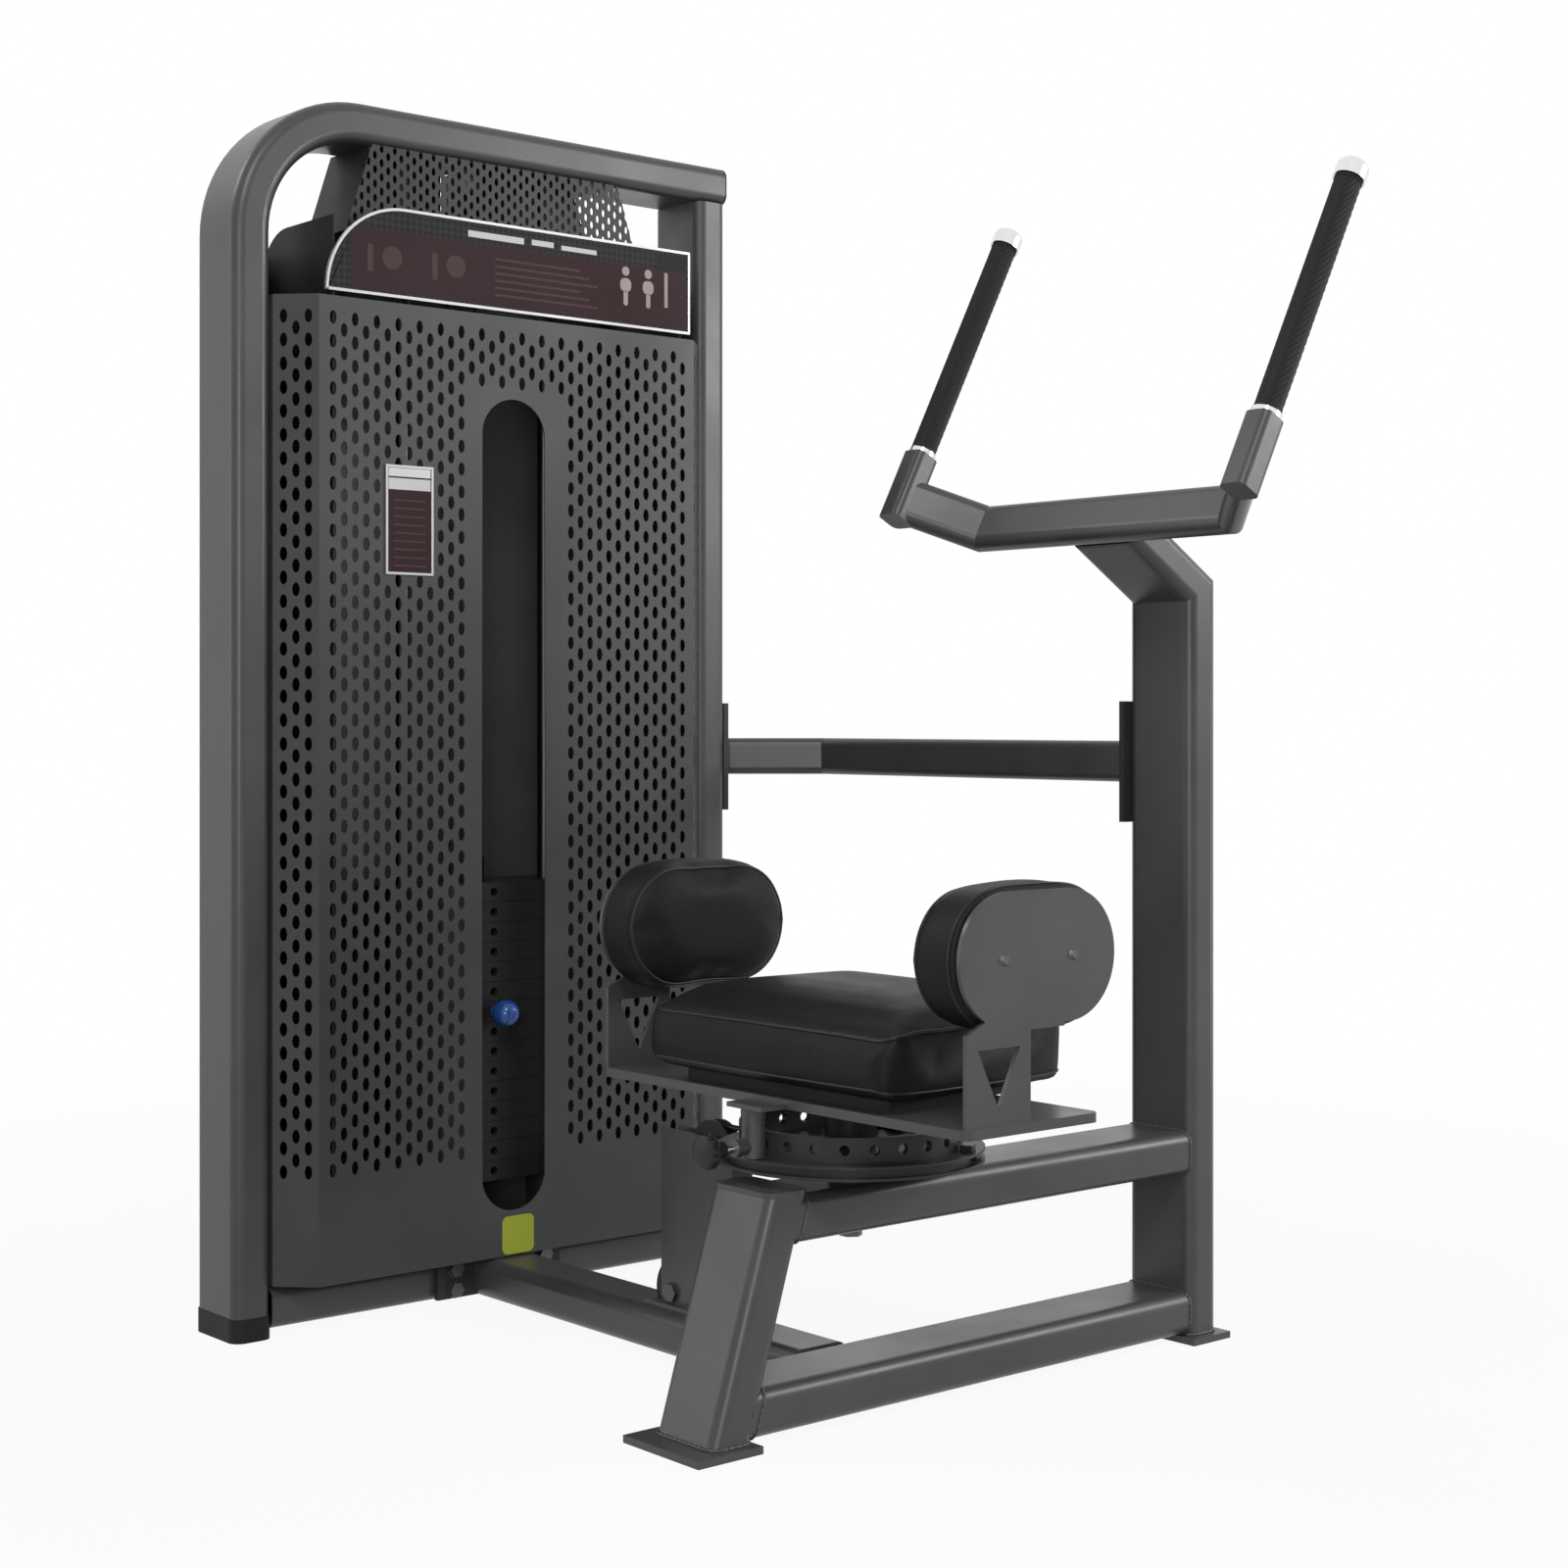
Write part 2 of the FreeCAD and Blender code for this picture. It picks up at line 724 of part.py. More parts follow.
def drive_cable():
    """Cable from the disc's groove round the roller and pulleys, through the floor beam and up the tower."""
    hub = Vector(centre_x, seat_y, disc_mid_z)
    roller = Vector(roller_x, roller_y, disc_mid_z)
    between = roller - hub
    swing = math.atan2(between.y, between.x) - math.acos((groove_radius + roller_radius) / between.Length)
    normal = Vector(math.cos(swing), math.sin(swing), 0)
    leave = hub + normal * groove_radius
    touch = roller - normal * roller_radius
    pieces = [cable_arc(hub, -UP, leave, disc_wrap_angle), rod(leave, touch, cable_radius),
              cable_arc(roller, -UP, touch, math.degrees(swing))]
    straight = Vector(centre_x, roller_y, disc_mid_z)
    over = Vector(centre_x, post_pulley_y, disc_mid_z)
    pieces += [rod(straight, over, cable_radius),
               cable_arc(over - UP * pulley_radius, -ALONG, over, 90)]
    down = over - UP * pulley_radius + BACK * pulley_radius
    low = Vector(centre_x, down.y, low_pulley_z)
    pieces += [rod(down, low, cable_radius), cable_arc(low + BACK * pulley_radius, ALONG, low, 90)]
    enter = Vector(centre_x, low_pulley_y, cable_floor_z)
    turn = Vector(centre_x, top_pulley_y, cable_floor_z)
    pieces += [rod(enter, turn, cable_radius), cable_arc(turn + UP * pulley_radius, ALONG, turn, 90)]
    rise = Vector(centre_x, cable_back_y, low_pulley_z)
    crest = Vector(centre_x, cable_back_y, top_pulley_z)
    pieces += [rod(rise, crest, cable_radius), cable_arc(crest - BACK * pulley_radius, ALONG, crest, 180)]
    return pieces[0].fuse(pieces[1:]).removeSplitter()


def stack_cable():
    """Straight end of the cable, from the top pulley down to the stem of the stack."""
    return rod(Vector(centre_x, stack_y, stack_top + stem_above),
               Vector(centre_x, stack_y, top_pulley_z), cable_radius)


def floor_beam():
    """Hollow beam from the main beam to the tower, with the slot of the low pulley in its top."""
    start = Vector(centre_x, beam_back, beam_rise + tube_slim / 2)
    end = Vector(centre_x, -plate, start.z)
    beam = tube(start, end, UP, floor_beam_wide, tube_slim, tube_round, tube_wall)
    half = pulley_wide / 2 + ear_gap
    slot = block(centre_x - half, centre_x + half, low_pulley_y - pulley_flange - ear_gap,
                 low_pulley_y + pulley_flange + ear_gap, cable_floor_z, beam_top + overrun)
    return beam.cut(slot)


def tower_flange():
    """Plate that bolts the floor beam to the tower's base beam."""
    body = block(centre_x - flange_half, centre_x + flange_half, -plate, 0, flange_low, beam_top)
    cuts = [rod(Vector(centre_x, -plate - overrun, cable_floor_z),
                Vector(centre_x, overrun, cable_floor_z), cable_way)]
    for x, z in flange_bolt_places():
        cuts.append(rod(Vector(x, -plate - overrun, z), Vector(x, overrun, z), bolt_radius))
    return body.cut(cuts)


def flange_bolt_places():
    middle = (flange_low + beam_top) / 2
    return [(centre_x + sx * flange_bolt_spread, middle + sz * flange_bolt_rise)
            for sx in (-1, 1) for sz in (-1, 1)]


def flange_bolts():
    return [bolt(Vector(x, -plate, z), -BACK, plate) for x, z in flange_bolt_places()]


def leg_lean():
    return (leg_front_top - leg_front_low) / (seat_beam_top - beam_rise)


def leg_solid(inset, past):
    """Slanted leg as a bar, cut level at its foot and top."""
    slope = leg_lean()
    across = tube_slim * math.sqrt(1 + slope * slope)
    low = foot_plate_thick - past
    high = seat_beam_top + past
    reach = tube_slim
    x_low = leg_front_low + slope * (low - reach - beam_rise) + across / 2
    x_high = leg_front_low + slope * (high + reach - beam_rise) + across / 2
    long_bar = bar(Vector(x_low, seat_y, low - reach), Vector(x_high, seat_y, high + reach), BACK,
                   tube_slim - 2 * inset, tube_deep - 2 * inset, tube_round - inset)
    room = block(0, post_x, beam_front - overrun, beam_back + overrun, low, high)
    return long_bar.common(room)


def front_leg():
    return leg_solid(0, 0).cut(leg_solid(tube_wall, overrun))


def leg_cap():
    across = tube_slim * math.sqrt(1 + leg_lean() ** 2)
    low = Vector(leg_front_top + across / 2, seat_y, seat_beam_top)
    return bar(low, low + UP * leg_cap_thick, BACK, across, tube_deep, tube_round)


def foot_plate(x0, x1):
    return block(x0, x1, beam_front - foot_plate_margin, beam_back + foot_plate_margin, 0, foot_plate_thick)


def main_beam():
    start = Vector(leg_front_low, seat_y, beam_rise + tube_slim / 2)
    end = Vector(post_x, seat_y, start.z)
    beam = tube(start, end, UP, tube_deep, tube_slim, tube_round, tube_wall)
    ahead = block(0, leg_front_low + tube_slim / 2, beam_front, beam_back, beam_rise,
                  beam_rise + tube_slim / 2)
    ahead_top = block(0, leg_front_low + tube_slim, beam_front, beam_back, beam_rise + tube_slim / 2,
                      beam_top)
    return beam.cut(leg_solid(0, overrun)).cut([ahead, ahead_top])


def seat_beam():
    start = Vector(leg_front_low, seat_y, seat_beam_z + tube_slim / 2)
    end = Vector(post_x, seat_y, start.z)
    beam = tube(start, end, UP, tube_deep, tube_slim, tube_round, tube_wall)
    hole = rod(Vector(centre_x, seat_y, seat_beam_z - overrun),
               Vector(centre_x, seat_y, seat_beam_top + overrun),
               spindle_radius)
    over_leg = leg_solid(0, overrun)
    ahead = block(0, leg_front_top + tube_slim / 2, beam_front, beam_back, seat_beam_z, seat_beam_top)
    return beam.cut([over_leg, hole]).cut(ahead)


def bar_axis():
    """Unit vectors of the handle frame: along the handles, and out of the bar towards the user."""
    lean = math.radians(handle_angle)
    return Vector(math.sin(lean), 0, math.cos(lean)), Vector(-math.cos(lean), 0, math.sin(lean))


def bar_points():
    up, out = bar_axis()
    middle = Vector(bar_x, seat_y, bar_z)
    inner = handle_spread - arm_across
    points = []
    for side, reach in ((-1, handle_spread), (-1, inner), (1, inner), (1, handle_spread)):
        run = arm_run if reach == handle_spread else 0
        points.append(middle + BACK * (side * reach) + out * run)
    return points


def crossbar_solid():
    up, out = bar_axis()
    return mitred_bar(bar_points(), up, bar_wide, bar_tall, bar_round)


def handle_crossbar():
    """Bent oval tube across the post, with an upright socket at each end."""
    up, out = bar_axis()
    points = bar_points()
    frame = crossbar_solid()
    bores = []
    for end in (points[0], points[-1]):
        foot = end - up * (bar_tall / 2)
        top = foot + up * stub_long
        frame = frame.fuse(bar(foot, top, BACK, stub_size, stub_size, stub_round))
        bores.append(rod(end, top + up * overrun, handle_radius))
    inner = mitred_bar(points[1:3], up, bar_wide - 2 * bar_wall, bar_tall - 2 * bar_wall,
                       bar_round - bar_wall)
    return frame.cut([inner] + bores).removeSplitter()


def handle_base(side):
    """Point on the handle's axis at the top of its socket."""
    up, out = bar_axis()
    points = bar_points()
    end = points[0] if side < 0 else points[-1]
    return end + up * (stub_long - bar_tall / 2)


def handle_tube(side):
    """Bright steel tube of the handle, from inside the socket into the end cap."""
    up, out = bar_axis()
    base = handle_base(side)
    return rod(base - up * (stub_long - bar_tall / 2),
               base + up * (grip_ring + grip_long + grip_cap / 2), handle_radius)


def grip_rings():
    up, out = bar_axis()
    bases = [handle_base(side) for side in (-1, 1)]
    return group([ring(base, base + up * grip_ring, grip_ring_radius, handle_radius) for base in bases])


def grip(side):
    up, out = bar_axis()
    start = handle_base(side) + up * grip_ring
    return ring(start, start + up * grip_long, grip_radius, handle_radius)


def grip_end(side):
    """Bright end cap of a handle with a rounded top."""
    up, out = bar_axis()
    start = handle_base(side) + up * (grip_ring + grip_long)
    body = rod(start, start + up * grip_cap, grip_cap_radius)
    top_edge = [e for e in body.Edges if e.BoundBox.ZMin > start.z + grip_cap / 2 and e.Closed
                and len(e.Vertexes) == 1]
    body = body.makeFillet(grip_cap_dome, top_edge[:1]) if top_edge else body
    return body.cut(rod(start - up * overrun, start + up * (grip_cap / 2), handle_radius))


def post_line(past):
    """Line of the post: up from the foot plate, then bent over towards the handle bar."""
    slope = math.radians(head_angle)
    middle = post_x + tube_slim / 2
    knee = Vector(middle, seat_y, post_bend_z)
    reach = (knee.x - bar_x) / math.cos(slope)
    tip = knee + Vector(-math.cos(slope), 0, math.sin(slope)) * reach
    return [Vector(middle, seat_y, foot_plate_thick - past), knee, tip]


def post():
    outer = mitred_bar(post_line(0), BACK, tube_slim, tube_deep, tube_round)
    thin = 2 * tube_wall
    inner = mitred_bar(post_line(overrun), BACK, tube_slim - thin, tube_deep - thin, tube_round - tube_wall)
    shell = outer.cut(inner)
    front = block(0, bar_x, seat_y - tube_deep, seat_y + tube_deep, 0, tower_high)
    return shell.cut([crossbar_solid(), front]).removeSplitter()


def link_line():
    z = link_low + link_tall / 2
    x = post_x + link_wide / 2
    return [Vector(x, beam_back + plate, z), Vector(x, -link_kink, z),
            Vector(tower_wide + plate, link_tower_back, z)]


def link_bar():
    """Bent tube that ties the tower to the post."""
    points = link_line()
    tail = points[2] + (points[2] - points[1]).normalize() * tube_slim
    longer = [points[0], points[1], tail]
    body = mitred_tube(longer, UP, link_wide, link_tall, link_round, tube_wall)
    room = block(0, tower_wide + plate, -tower_wide, tower_wide, 0, tower_high)
    return body.cut(room)


def link_flange_tower():
    """Flange of the link on the tower's side."""
    low = link_flange_low
    body = block(tower_wide, tower_wide + plate, link_flange_margin, tube_deep - link_flange_margin, low,
                 low + link_flange_high)
    holes = [rod(Vector(tower_wide - overrun, y, z), Vector(tower_wide + plate + overrun, y, z),
                 bolt_radius)
             for y, z in link_bolt_places(tube_deep / 2)]
    return body.cut(holes)


def link_flange_post():
    """Flange of the link on the back of the post."""
    low = link_flange_low
    body = block(post_x - link_flange_margin, post_x + tube_slim + link_flange_margin, beam_back,
                 beam_back + plate, low, low + link_flange_high)
    holes = [rod(Vector(x, beam_back - overrun, z), Vector(x, beam_back + plate + overrun, z), bolt_radius)
             for x, z in link_bolt_places(post_x + tube_slim / 2)]
    return body.cut(holes)


def link_bolt_places(middle):
    z = link_low + link_tall / 2
    return [(middle + side * link_bolt_spread / 2, z + lift * link_bolt_rise)
            for side in (-1, 1) for lift in (-1, 1)]


def link_bolts():
    made = []
    for y, z in link_bolt_places(tube_deep / 2):
        made.append(bolt(Vector(tower_wide + plate, y, z), ALONG, plate))
    for x, z in link_bolt_places(post_x + tube_slim / 2):
        made.append(bolt(Vector(x, beam_back + plate, z), BACK, plate))
    return made


def spindle():
    """Fixed upright spindle of the seat, with its shoulder on the beam and its nut under the beam."""
    axis = Vector(centre_x, seat_y, 0)
    shaft = rod(axis + UP * seat_beam_z, axis + UP * carrier_low, spindle_radius)
    shoulder = rod(axis + UP * seat_beam_top, axis + UP * (disc_low - soft_gap), spacer_radius)
    nut = hexagon(axis + UP * seat_beam_z, -UP, nut_across, nut_high)
    return shaft.fuse([shoulder, nut]).removeSplitter()


def index_disc():
    """Cable disc of the seat: a groove in its rim, and on top a ring with a hole for each start position."""
    centre = Vector(centre_x, seat_y, disc_mid_z)
    body = wheel(centre, UP, groove_radius, disc_radius, disc_thick, spindle_radius + running_gap)
    low = Vector(centre_x, seat_y, disc_top)
    high = low + UP * ring_high
    wall = ring(low, high, ring_radius, ring_radius - ring_wall)
    holes = []
    steps = round(360 / ring_step_angle)
    middle = low + UP * (ring_high / 2)
    for step in range(steps):
        turn = math.radians(step * ring_step_angle)
        out = Vector(math.cos(turn), math.sin(turn), 0)
        holes.append(rod(middle + out * (ring_radius - 2 * ring_wall),
                         middle + out * (ring_radius + ring_wall),
                         index_pin_radius + ring_hole_clear))
    return body.fuse(wall.cut(holes)).removeSplitter()


def cable_anchor():
    """Clamp that holds the end of the cable, on top of the disc beside the groove."""
    start = math.radians(drive_anchor_angle())
    out = Vector(math.cos(start), math.sin(start), 0)
    middle = Vector(centre_x, seat_y, disc_top) + out * (groove_radius - anchor_size / 2)
    return bar(middle, middle + UP * (anchor_size / 2), out, anchor_size, anchor_size, sheet)


def drive_anchor_angle():
    between = Vector(roller_radius, roller_y - seat_y, 0)
    swing = math.atan2(between.y, between.x) - math.acos((groove_radius + roller_radius) / between.Length)
    return math.degrees(swing) - disc_wrap_angle


def seat_hub():
    """Bearing hub under the seat carrier that turns on the spindle."""
    low = Vector(centre_x, seat_y, disc_top + hub_lift)
    return ring(low, Vector(centre_x, seat_y, carrier_low), hub_radius, spindle_radius + running_gap)


def seat_carrier():
    """Wide plate under the seat that carries the seat board and both hip pads."""
    body = block(centre_x - carrier_back, centre_x + carrier_front, seat_y - carrier_half,
                 seat_y + carrier_half, carrier_low, carrier_top)
    edges = [e for e in body.Edges if abs(e.tangentAt(e.FirstParameter).z) > 0.9]
    body = body.makeFillet(carrier_round, edges)
    half = index_arm_wide / 2
    arm = block(index_barrel_x() - index_barrel_radius, centre_x - carrier_back, seat_y - half,
                seat_y + half, carrier_low, carrier_low + carrier_thick / 2)
    return body.fuse(arm).removeSplitter()


def index_z():
    return disc_top + ring_high / 2


def index_barrel_x():
    return centre_x - ring_radius - index_pin_free - index_barrel_radius


def index_tube():
    """Barrel under the carrier's arm that guides the index pin, with a short sleeve towards the knob."""
    x = index_barrel_x()
    barrel = rod(Vector(x, seat_y, disc_top + hub_lift), Vector(x, seat_y, carrier_low),
                 index_barrel_radius)
    sleeve = rod(Vector(x, seat_y, index_z()), Vector(x - index_tube_long, seat_y, index_z()),
                 index_tube_radius)
    bore = rod(Vector(x + index_tube_long, seat_y, index_z()),
               Vector(x - 2 * index_tube_long, seat_y, index_z()),
               index_pin_radius + running_gap)
    return barrel.fuse(sleeve).removeSplitter().cut(bore)


def index_pin():
    tip = centre_x - ring_radius - index_pin_free
    tail = index_barrel_x() - index_tube_long - index_pin_travel - index_knob_long + sheet
    return rod(Vector(tip, seat_y, index_z()), Vector(tail, seat_y, index_z()), index_pin_radius)


def index_knob():
    """Pull knob with a waist, pressed on the index pin."""
    start = index_barrel_x() - index_tube_long - index_pin_travel
    middle = Vector(start, seat_y, index_z())
    third = index_knob_long / 3
    neck = rod(middle, middle - ALONG * third, index_knob_radius / 2)
    flare = Part.makeCone(index_knob_radius / 2, index_knob_radius, third, middle - ALONG * third, -ALONG)
    cap = rod(middle - ALONG * (2 * third), middle - ALONG * index_knob_long, index_knob_radius)
    body = neck.fuse([flare, cap]).removeSplitter()
    return body.cut(rod(middle + ALONG * overrun, middle - ALONG * (index_knob_long - sheet),
                        index_pin_radius))


def seat_wire(z, inset):
    """Outline of the seat at one height: wide and round behind, narrower in front."""
    back = centre_x - seat_behind + inset
    front = centre_x + seat_before - inset
    wide = seat_half_back - inset
    slim = seat_half_front - inset
    corners = [(back, seat_y - wide), (front, seat_y - slim), (front, seat_y + slim), (back, seat_y + wide)]
    rounds = [seat_round_back, seat_round_front, seat_round_front, seat_round_back]
    edges = []
    cuts = []
    for i, (x, y) in enumerate(corners):
        here = Vector(x, y, z)
        before = Vector(corners[i - 1][0], corners[i - 1][1], z) - here
        after = Vector(corners[(i + 1) % 4][0], corners[(i + 1) % 4][1], z) - here
        before.normalize()
        after.normalize()
        radius = max(rounds[i] - inset, seat_round_front / 3)
        half = before.getAngle(after) / 2
        reach = radius / math.tan(half)
        bisector = (before + after).normalize()
        mid = here + bisector * (radius / math.sin(half) - radius)
        cuts.append((here + before * reach, mid, here + after * reach))
    for i, (start, mid, end) in enumerate(cuts):
        edges.append(Part.Arc(start, mid, end).toShape())
        edges.append(Part.LineSegment(end, cuts[(i + 1) % 4][0]).toShape())
    return Part.Wire(edges)


def seat_board():
    low = carrier_top
    return Part.Face(seat_wire(low, seat_board_inset)).extrude(UP * seat_board_thick)


def seat_pad():
    """Cushion of the seat with drawn-in sides and a crowned top."""
    low = carrier_top + seat_board_thick + soft_gap
    edge = low + seat_edge_high
    wires = [seat_wire(low + share * seat_edge_high, draw * seat_draw) for share, draw in seat_side_shares]
    wires += [seat_wire(edge + share * seat_crown, draw * seat_draw) for share, draw in seat_crown_shares]
    return Part.makeLoft(wires, True, False)


def stadium_wire(y, inset, grow):
    """Round-ended outline of a hip pad, in an upright plane."""
    middle = Vector(centre_x - pad_behind, y, pad_z)
    high = pad_high + 2 * grow - 2 * inset
    wide = pad_long + 2 * grow - 2 * inset
    return rounded_wire(middle, ALONG, UP, wide, high, high / 2 - end_flat)


def pad_plate(side):
    """Steel back plate of a hip pad, with its windowed neck down to the carrier."""
    outer = seat_y + side * pad_reach
    thick = BACK * (-side * pad_plate_thick)
    back = Part.Face(stadium_wire(outer, 0, 0)).extrude(thick)
    middle = centre_x - pad_behind
    low_left = middle - neck_low_behind
    low_right = middle - neck_low_before
    top = pad_z - pad_high / 2 + neck_overlap
    neck = [(low_left, carrier_top), (low_right, carrier_top), (low_right, neck_knee_z),
            (middle + neck_top_before, neck_knee_z), (middle + neck_top_before, top),
            (middle - neck_top_behind, top),
            (low_left, neck_knee_z)]
    body = sheet_of([Vector(x, outer, z) for x, z in neck], thick)
    edge = neck_window_edge
    window = [((low_left + low_right) / 2, carrier_top + edge), (low_right - edge, neck_knee_z - edge),
              (low_left + edge, neck_knee_z - edge)]
    cut = sheet_of([Vector(x, outer - thick.y, z) for x, z in window], thick * 3)
    return back.fuse(body).cut(cut).removeSplitter()


def hip_pad(side):
    """Cushion of a hip pad: a round-ended block with a full edge and a crowned face."""
    start = seat_y + side * (pad_reach - pad_plate_thick - soft_gap)
    wires = []
    for share, inset in pad_shares:
        wires.append(stadium_wire(start - side * share * (pad_soft - soft_gap), inset * pad_soft,
                                  pad_overlap))
    return Part.makeLoft(wires, True, False)


def pad_screws():
    made = []
    for side in (-1, 1):
        for place in (-1, 1):
            face = Vector(centre_x - pad_behind + place * pad_screw_spread / 2,
                          seat_y + side * pad_reach, pad_z)
            made.append(Part.makeCone(pad_screw_radius, pad_screw_radius * 2 / 3, pad_screw_head, face,
                                      BACK * side))
    return group(made)


def nodes():
    """Every named piece of the machine with its shape."""
    resting = [weight_plate(i) for i in range(pinned_plate)]
    lifted = [weight_plate(i) for i in range(pinned_plate, plate_count)]
    made = {
        "tower_arch": tower_arch(),
        "tower_right_upright": right_upright(),
        "top_rail_end_cap": rail_end_cap(),
        "tower_feet": group([upright_foot(tube_slim / 2), upright_foot(tower_wide - tube_slim / 2)]),
        "tower_base_beam": base_beam(),
        "front_shroud": front_shroud(),
        "rear_shroud": shroud(1, rear_top),
        "tower_liners": group([liner(tube_slim + liner_in),
                               liner(tower_wide - tube_slim - liner_in - sheet)]),
        "header_panel": header_panel(),
        "instruction_board": instruction_board(),
        "label_plate": label_plate(),
        "base_sticker": base_sticker(),
        "guide_rods": at_rods(guide_rod),
        "stack_buffers": at_rods(stack_buffer),
        "resting_weight_plates": group(resting),
        "lifted_weight_plates": group(lifted),
        "selector_stem": selector_stem(),
        "selector_pin": selector_pin(),
        "selector_knob": selector_knob(),
        "top_pulley": pulley(top_pulley_y, top_pulley_z),
        "base_pulley": pulley(top_pulley_y, low_pulley_z),
        "tower_pulley_ears": group(top_pulley_ears() + base_pulley_ears()),
        "post_pulley_upper": pulley(post_pulley_y, post_pulley_z),
        "post_pulley_lower": pulley(low_pulley_y, low_pulley_z),
        "pulley_axles": group([axle(top_pulley_y, top_pulley_z), axle(top_pulley_y, low_pulley_z),
                               axle(post_pulley_y, post_pulley_z), axle(low_pulley_y, low_pulley_z),
                               roller_bolt()]),
        "pulley_post": pulley_post(),
        "guide_roller": guide_roller(),
        "drive_cable": drive_cable(),
        "stack_cable": stack_cable(),
        "floor_beam": floor_beam(),
        "tower_flange": tower_flange(),
        "frame_bolts": group(flange_bolts() + link_bolts()),
        "front_leg": front_leg(),
        "front_leg_cap": leg_cap(),
        "foot_plates": group([foot_plate(leg_front_low - front_foot_ahead,
                                         leg_front_low + front_foot_behind),
                              foot_plate(post_x - rear_foot_margin,
                                         post_x + tube_slim + rear_foot_margin)]),
        "main_beam": main_beam(),
        "seat_beam": seat_beam(),
        "post": post(),
        "link_bar": link_bar(),
        "link_flanges": group([link_flange_tower(), link_flange_post()]),
        "handle_crossbar": handle_crossbar(),
        "handle_tubes": group([handle_tube(-1), handle_tube(1)]),
        "grip_rings": grip_rings(),
        "grips": group([grip(-1), grip(1)]),
        "grip_end_caps": group([grip_end(-1), grip_end(1)]),
        "spindle": spindle(),
        "index_disc": index_disc(),
        "cable_anchor": cable_anchor(),
        "seat_hub": seat_hub(),
        "seat_carrier": seat_carrier(),
        "index_pin_guide": index_tube(),
        "index_pin": index_pin(),
        "index_knob": index_knob(),
        "seat_board": seat_board(),
        "seat_pad": seat_pad(),
        "hip_pad_plates": group([pad_plate(-1), pad_plate(1)]),
        "left_hip_pad": hip_pad(1),
        "right_hip_pad": hip_pad(-1),
        "hip_pad_screws": pad_screws(),
    }
    return made


def main():
    os.makedirs("parts", exist_ok=True)
    shift = Vector(-x_mid, -y_mid, 0)
    for name, shape in nodes().items():
        placed = shape.copy()
        placed.translate(shift)
        placed.exportStep(os.path.join("parts", name + ".step"))
        print(name, len(placed.Solids), "solids, valid" if placed.isValid() else "solids, NOT VALID")


main()
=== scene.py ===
# %% [markdown]
# # Dressing a rotary torso machine
# The machine has a tall weight tower, a floor frame and a swivel seat between two hip pads. Its
# tubes, plates, wheels and bolts come ready made, so this lesson adds what shows from a step away:
# the perforated covers, the upholstery, the hatched grips, the knobs, the printed boards, the
# straight end of the cable, the weld beads and every finish. Sizes below are in millimetres,
# measured from the outer front corner of the tower's left upright, and `spot` turns them into
# metres in the machine's own frame.

# %% Load the machine
import math

import bpy
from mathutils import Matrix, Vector


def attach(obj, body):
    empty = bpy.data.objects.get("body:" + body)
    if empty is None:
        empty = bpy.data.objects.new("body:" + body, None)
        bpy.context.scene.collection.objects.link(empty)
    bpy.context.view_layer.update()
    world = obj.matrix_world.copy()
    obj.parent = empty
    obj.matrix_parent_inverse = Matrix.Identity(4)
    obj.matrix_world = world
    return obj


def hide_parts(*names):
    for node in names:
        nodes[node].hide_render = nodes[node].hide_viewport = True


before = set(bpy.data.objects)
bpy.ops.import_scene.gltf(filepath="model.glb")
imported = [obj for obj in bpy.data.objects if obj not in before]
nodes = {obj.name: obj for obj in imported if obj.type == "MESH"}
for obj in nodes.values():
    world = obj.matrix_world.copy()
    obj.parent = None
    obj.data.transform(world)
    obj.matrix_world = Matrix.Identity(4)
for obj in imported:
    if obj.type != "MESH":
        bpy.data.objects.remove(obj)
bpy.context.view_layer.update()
scene = bpy.context.scene
MM = 0.001
MIDDLE_X, MIDDLE_Y = 463.0, -416.0
CENTRE_X, SEAT_Y = 370.0, -678.0


def spot(x, y, z):
    """A place on the machine, from millimetres beside the tower to metres in the machine's frame."""
    return Vector(((x - MIDDLE_X) * MM, (y - MIDDLE_Y) * MM, z * MM))


print("pieces loaded:", len(nodes))

# %% [markdown]
# ## Camera, floor and light
# The photograph is a catalogue picture: the camera stands low and level in front of the seat, and
# the ground is nearly white. A level camera keeps the uprights parallel, so the picture is framed
# by a small vertical shift instead of a tilt. The light is a studio's: a large soft box on the
# right, a smaller one beside the camera, one high above it, and two on the left towards the back,
# which draw a thin bright line along the tubes and the top rail.

# %% Camera
camera = bpy.data.objects.new("camera", bpy.data.cameras.new("camera"))
scene.collection.objects.link(camera)
camera.location = spot(-1421.2, -2669.1, 742.8)
camera.rotation_euler = (math.pi / 2, 0, -0.70587)
camera.data.sensor_width = 36
camera.data.lens = 57.289
camera.data.shift_y = -0.0422
camera.data.clip_end = 60
scene.camera = camera
scene.view_settings.view_transform = "Standard"


# %% Node helpers
def new_material(name):
    """An empty material with its shader and output, ready for nodes."""
    material = bpy.data.materials.new(name)
    material.use_nodes = True
    tree = material.node_tree
    shader = tree.nodes["Principled BSDF"]
    return material, tree, shader


def add_node(tree, kind, **values):
    """One node with its values, by socket name or by property."""
    made = tree.nodes.new(kind)
    for key, value in values.items():
        if key in made.inputs:
            made.inputs[key].default_value = value
        else:
            setattr(made, key, value)
    return made


def spread(tree, low, high, to_low, to_high):
    """A node that carries the values between two ends over to two others."""
    made = add_node(tree, "ShaderNodeMapRange")
    for socket, value in zip(("From Min", "From Max", "To Min", "To Max"), (low, high, to_low, to_high)):
        made.inputs[socket].default_value = value
    return made


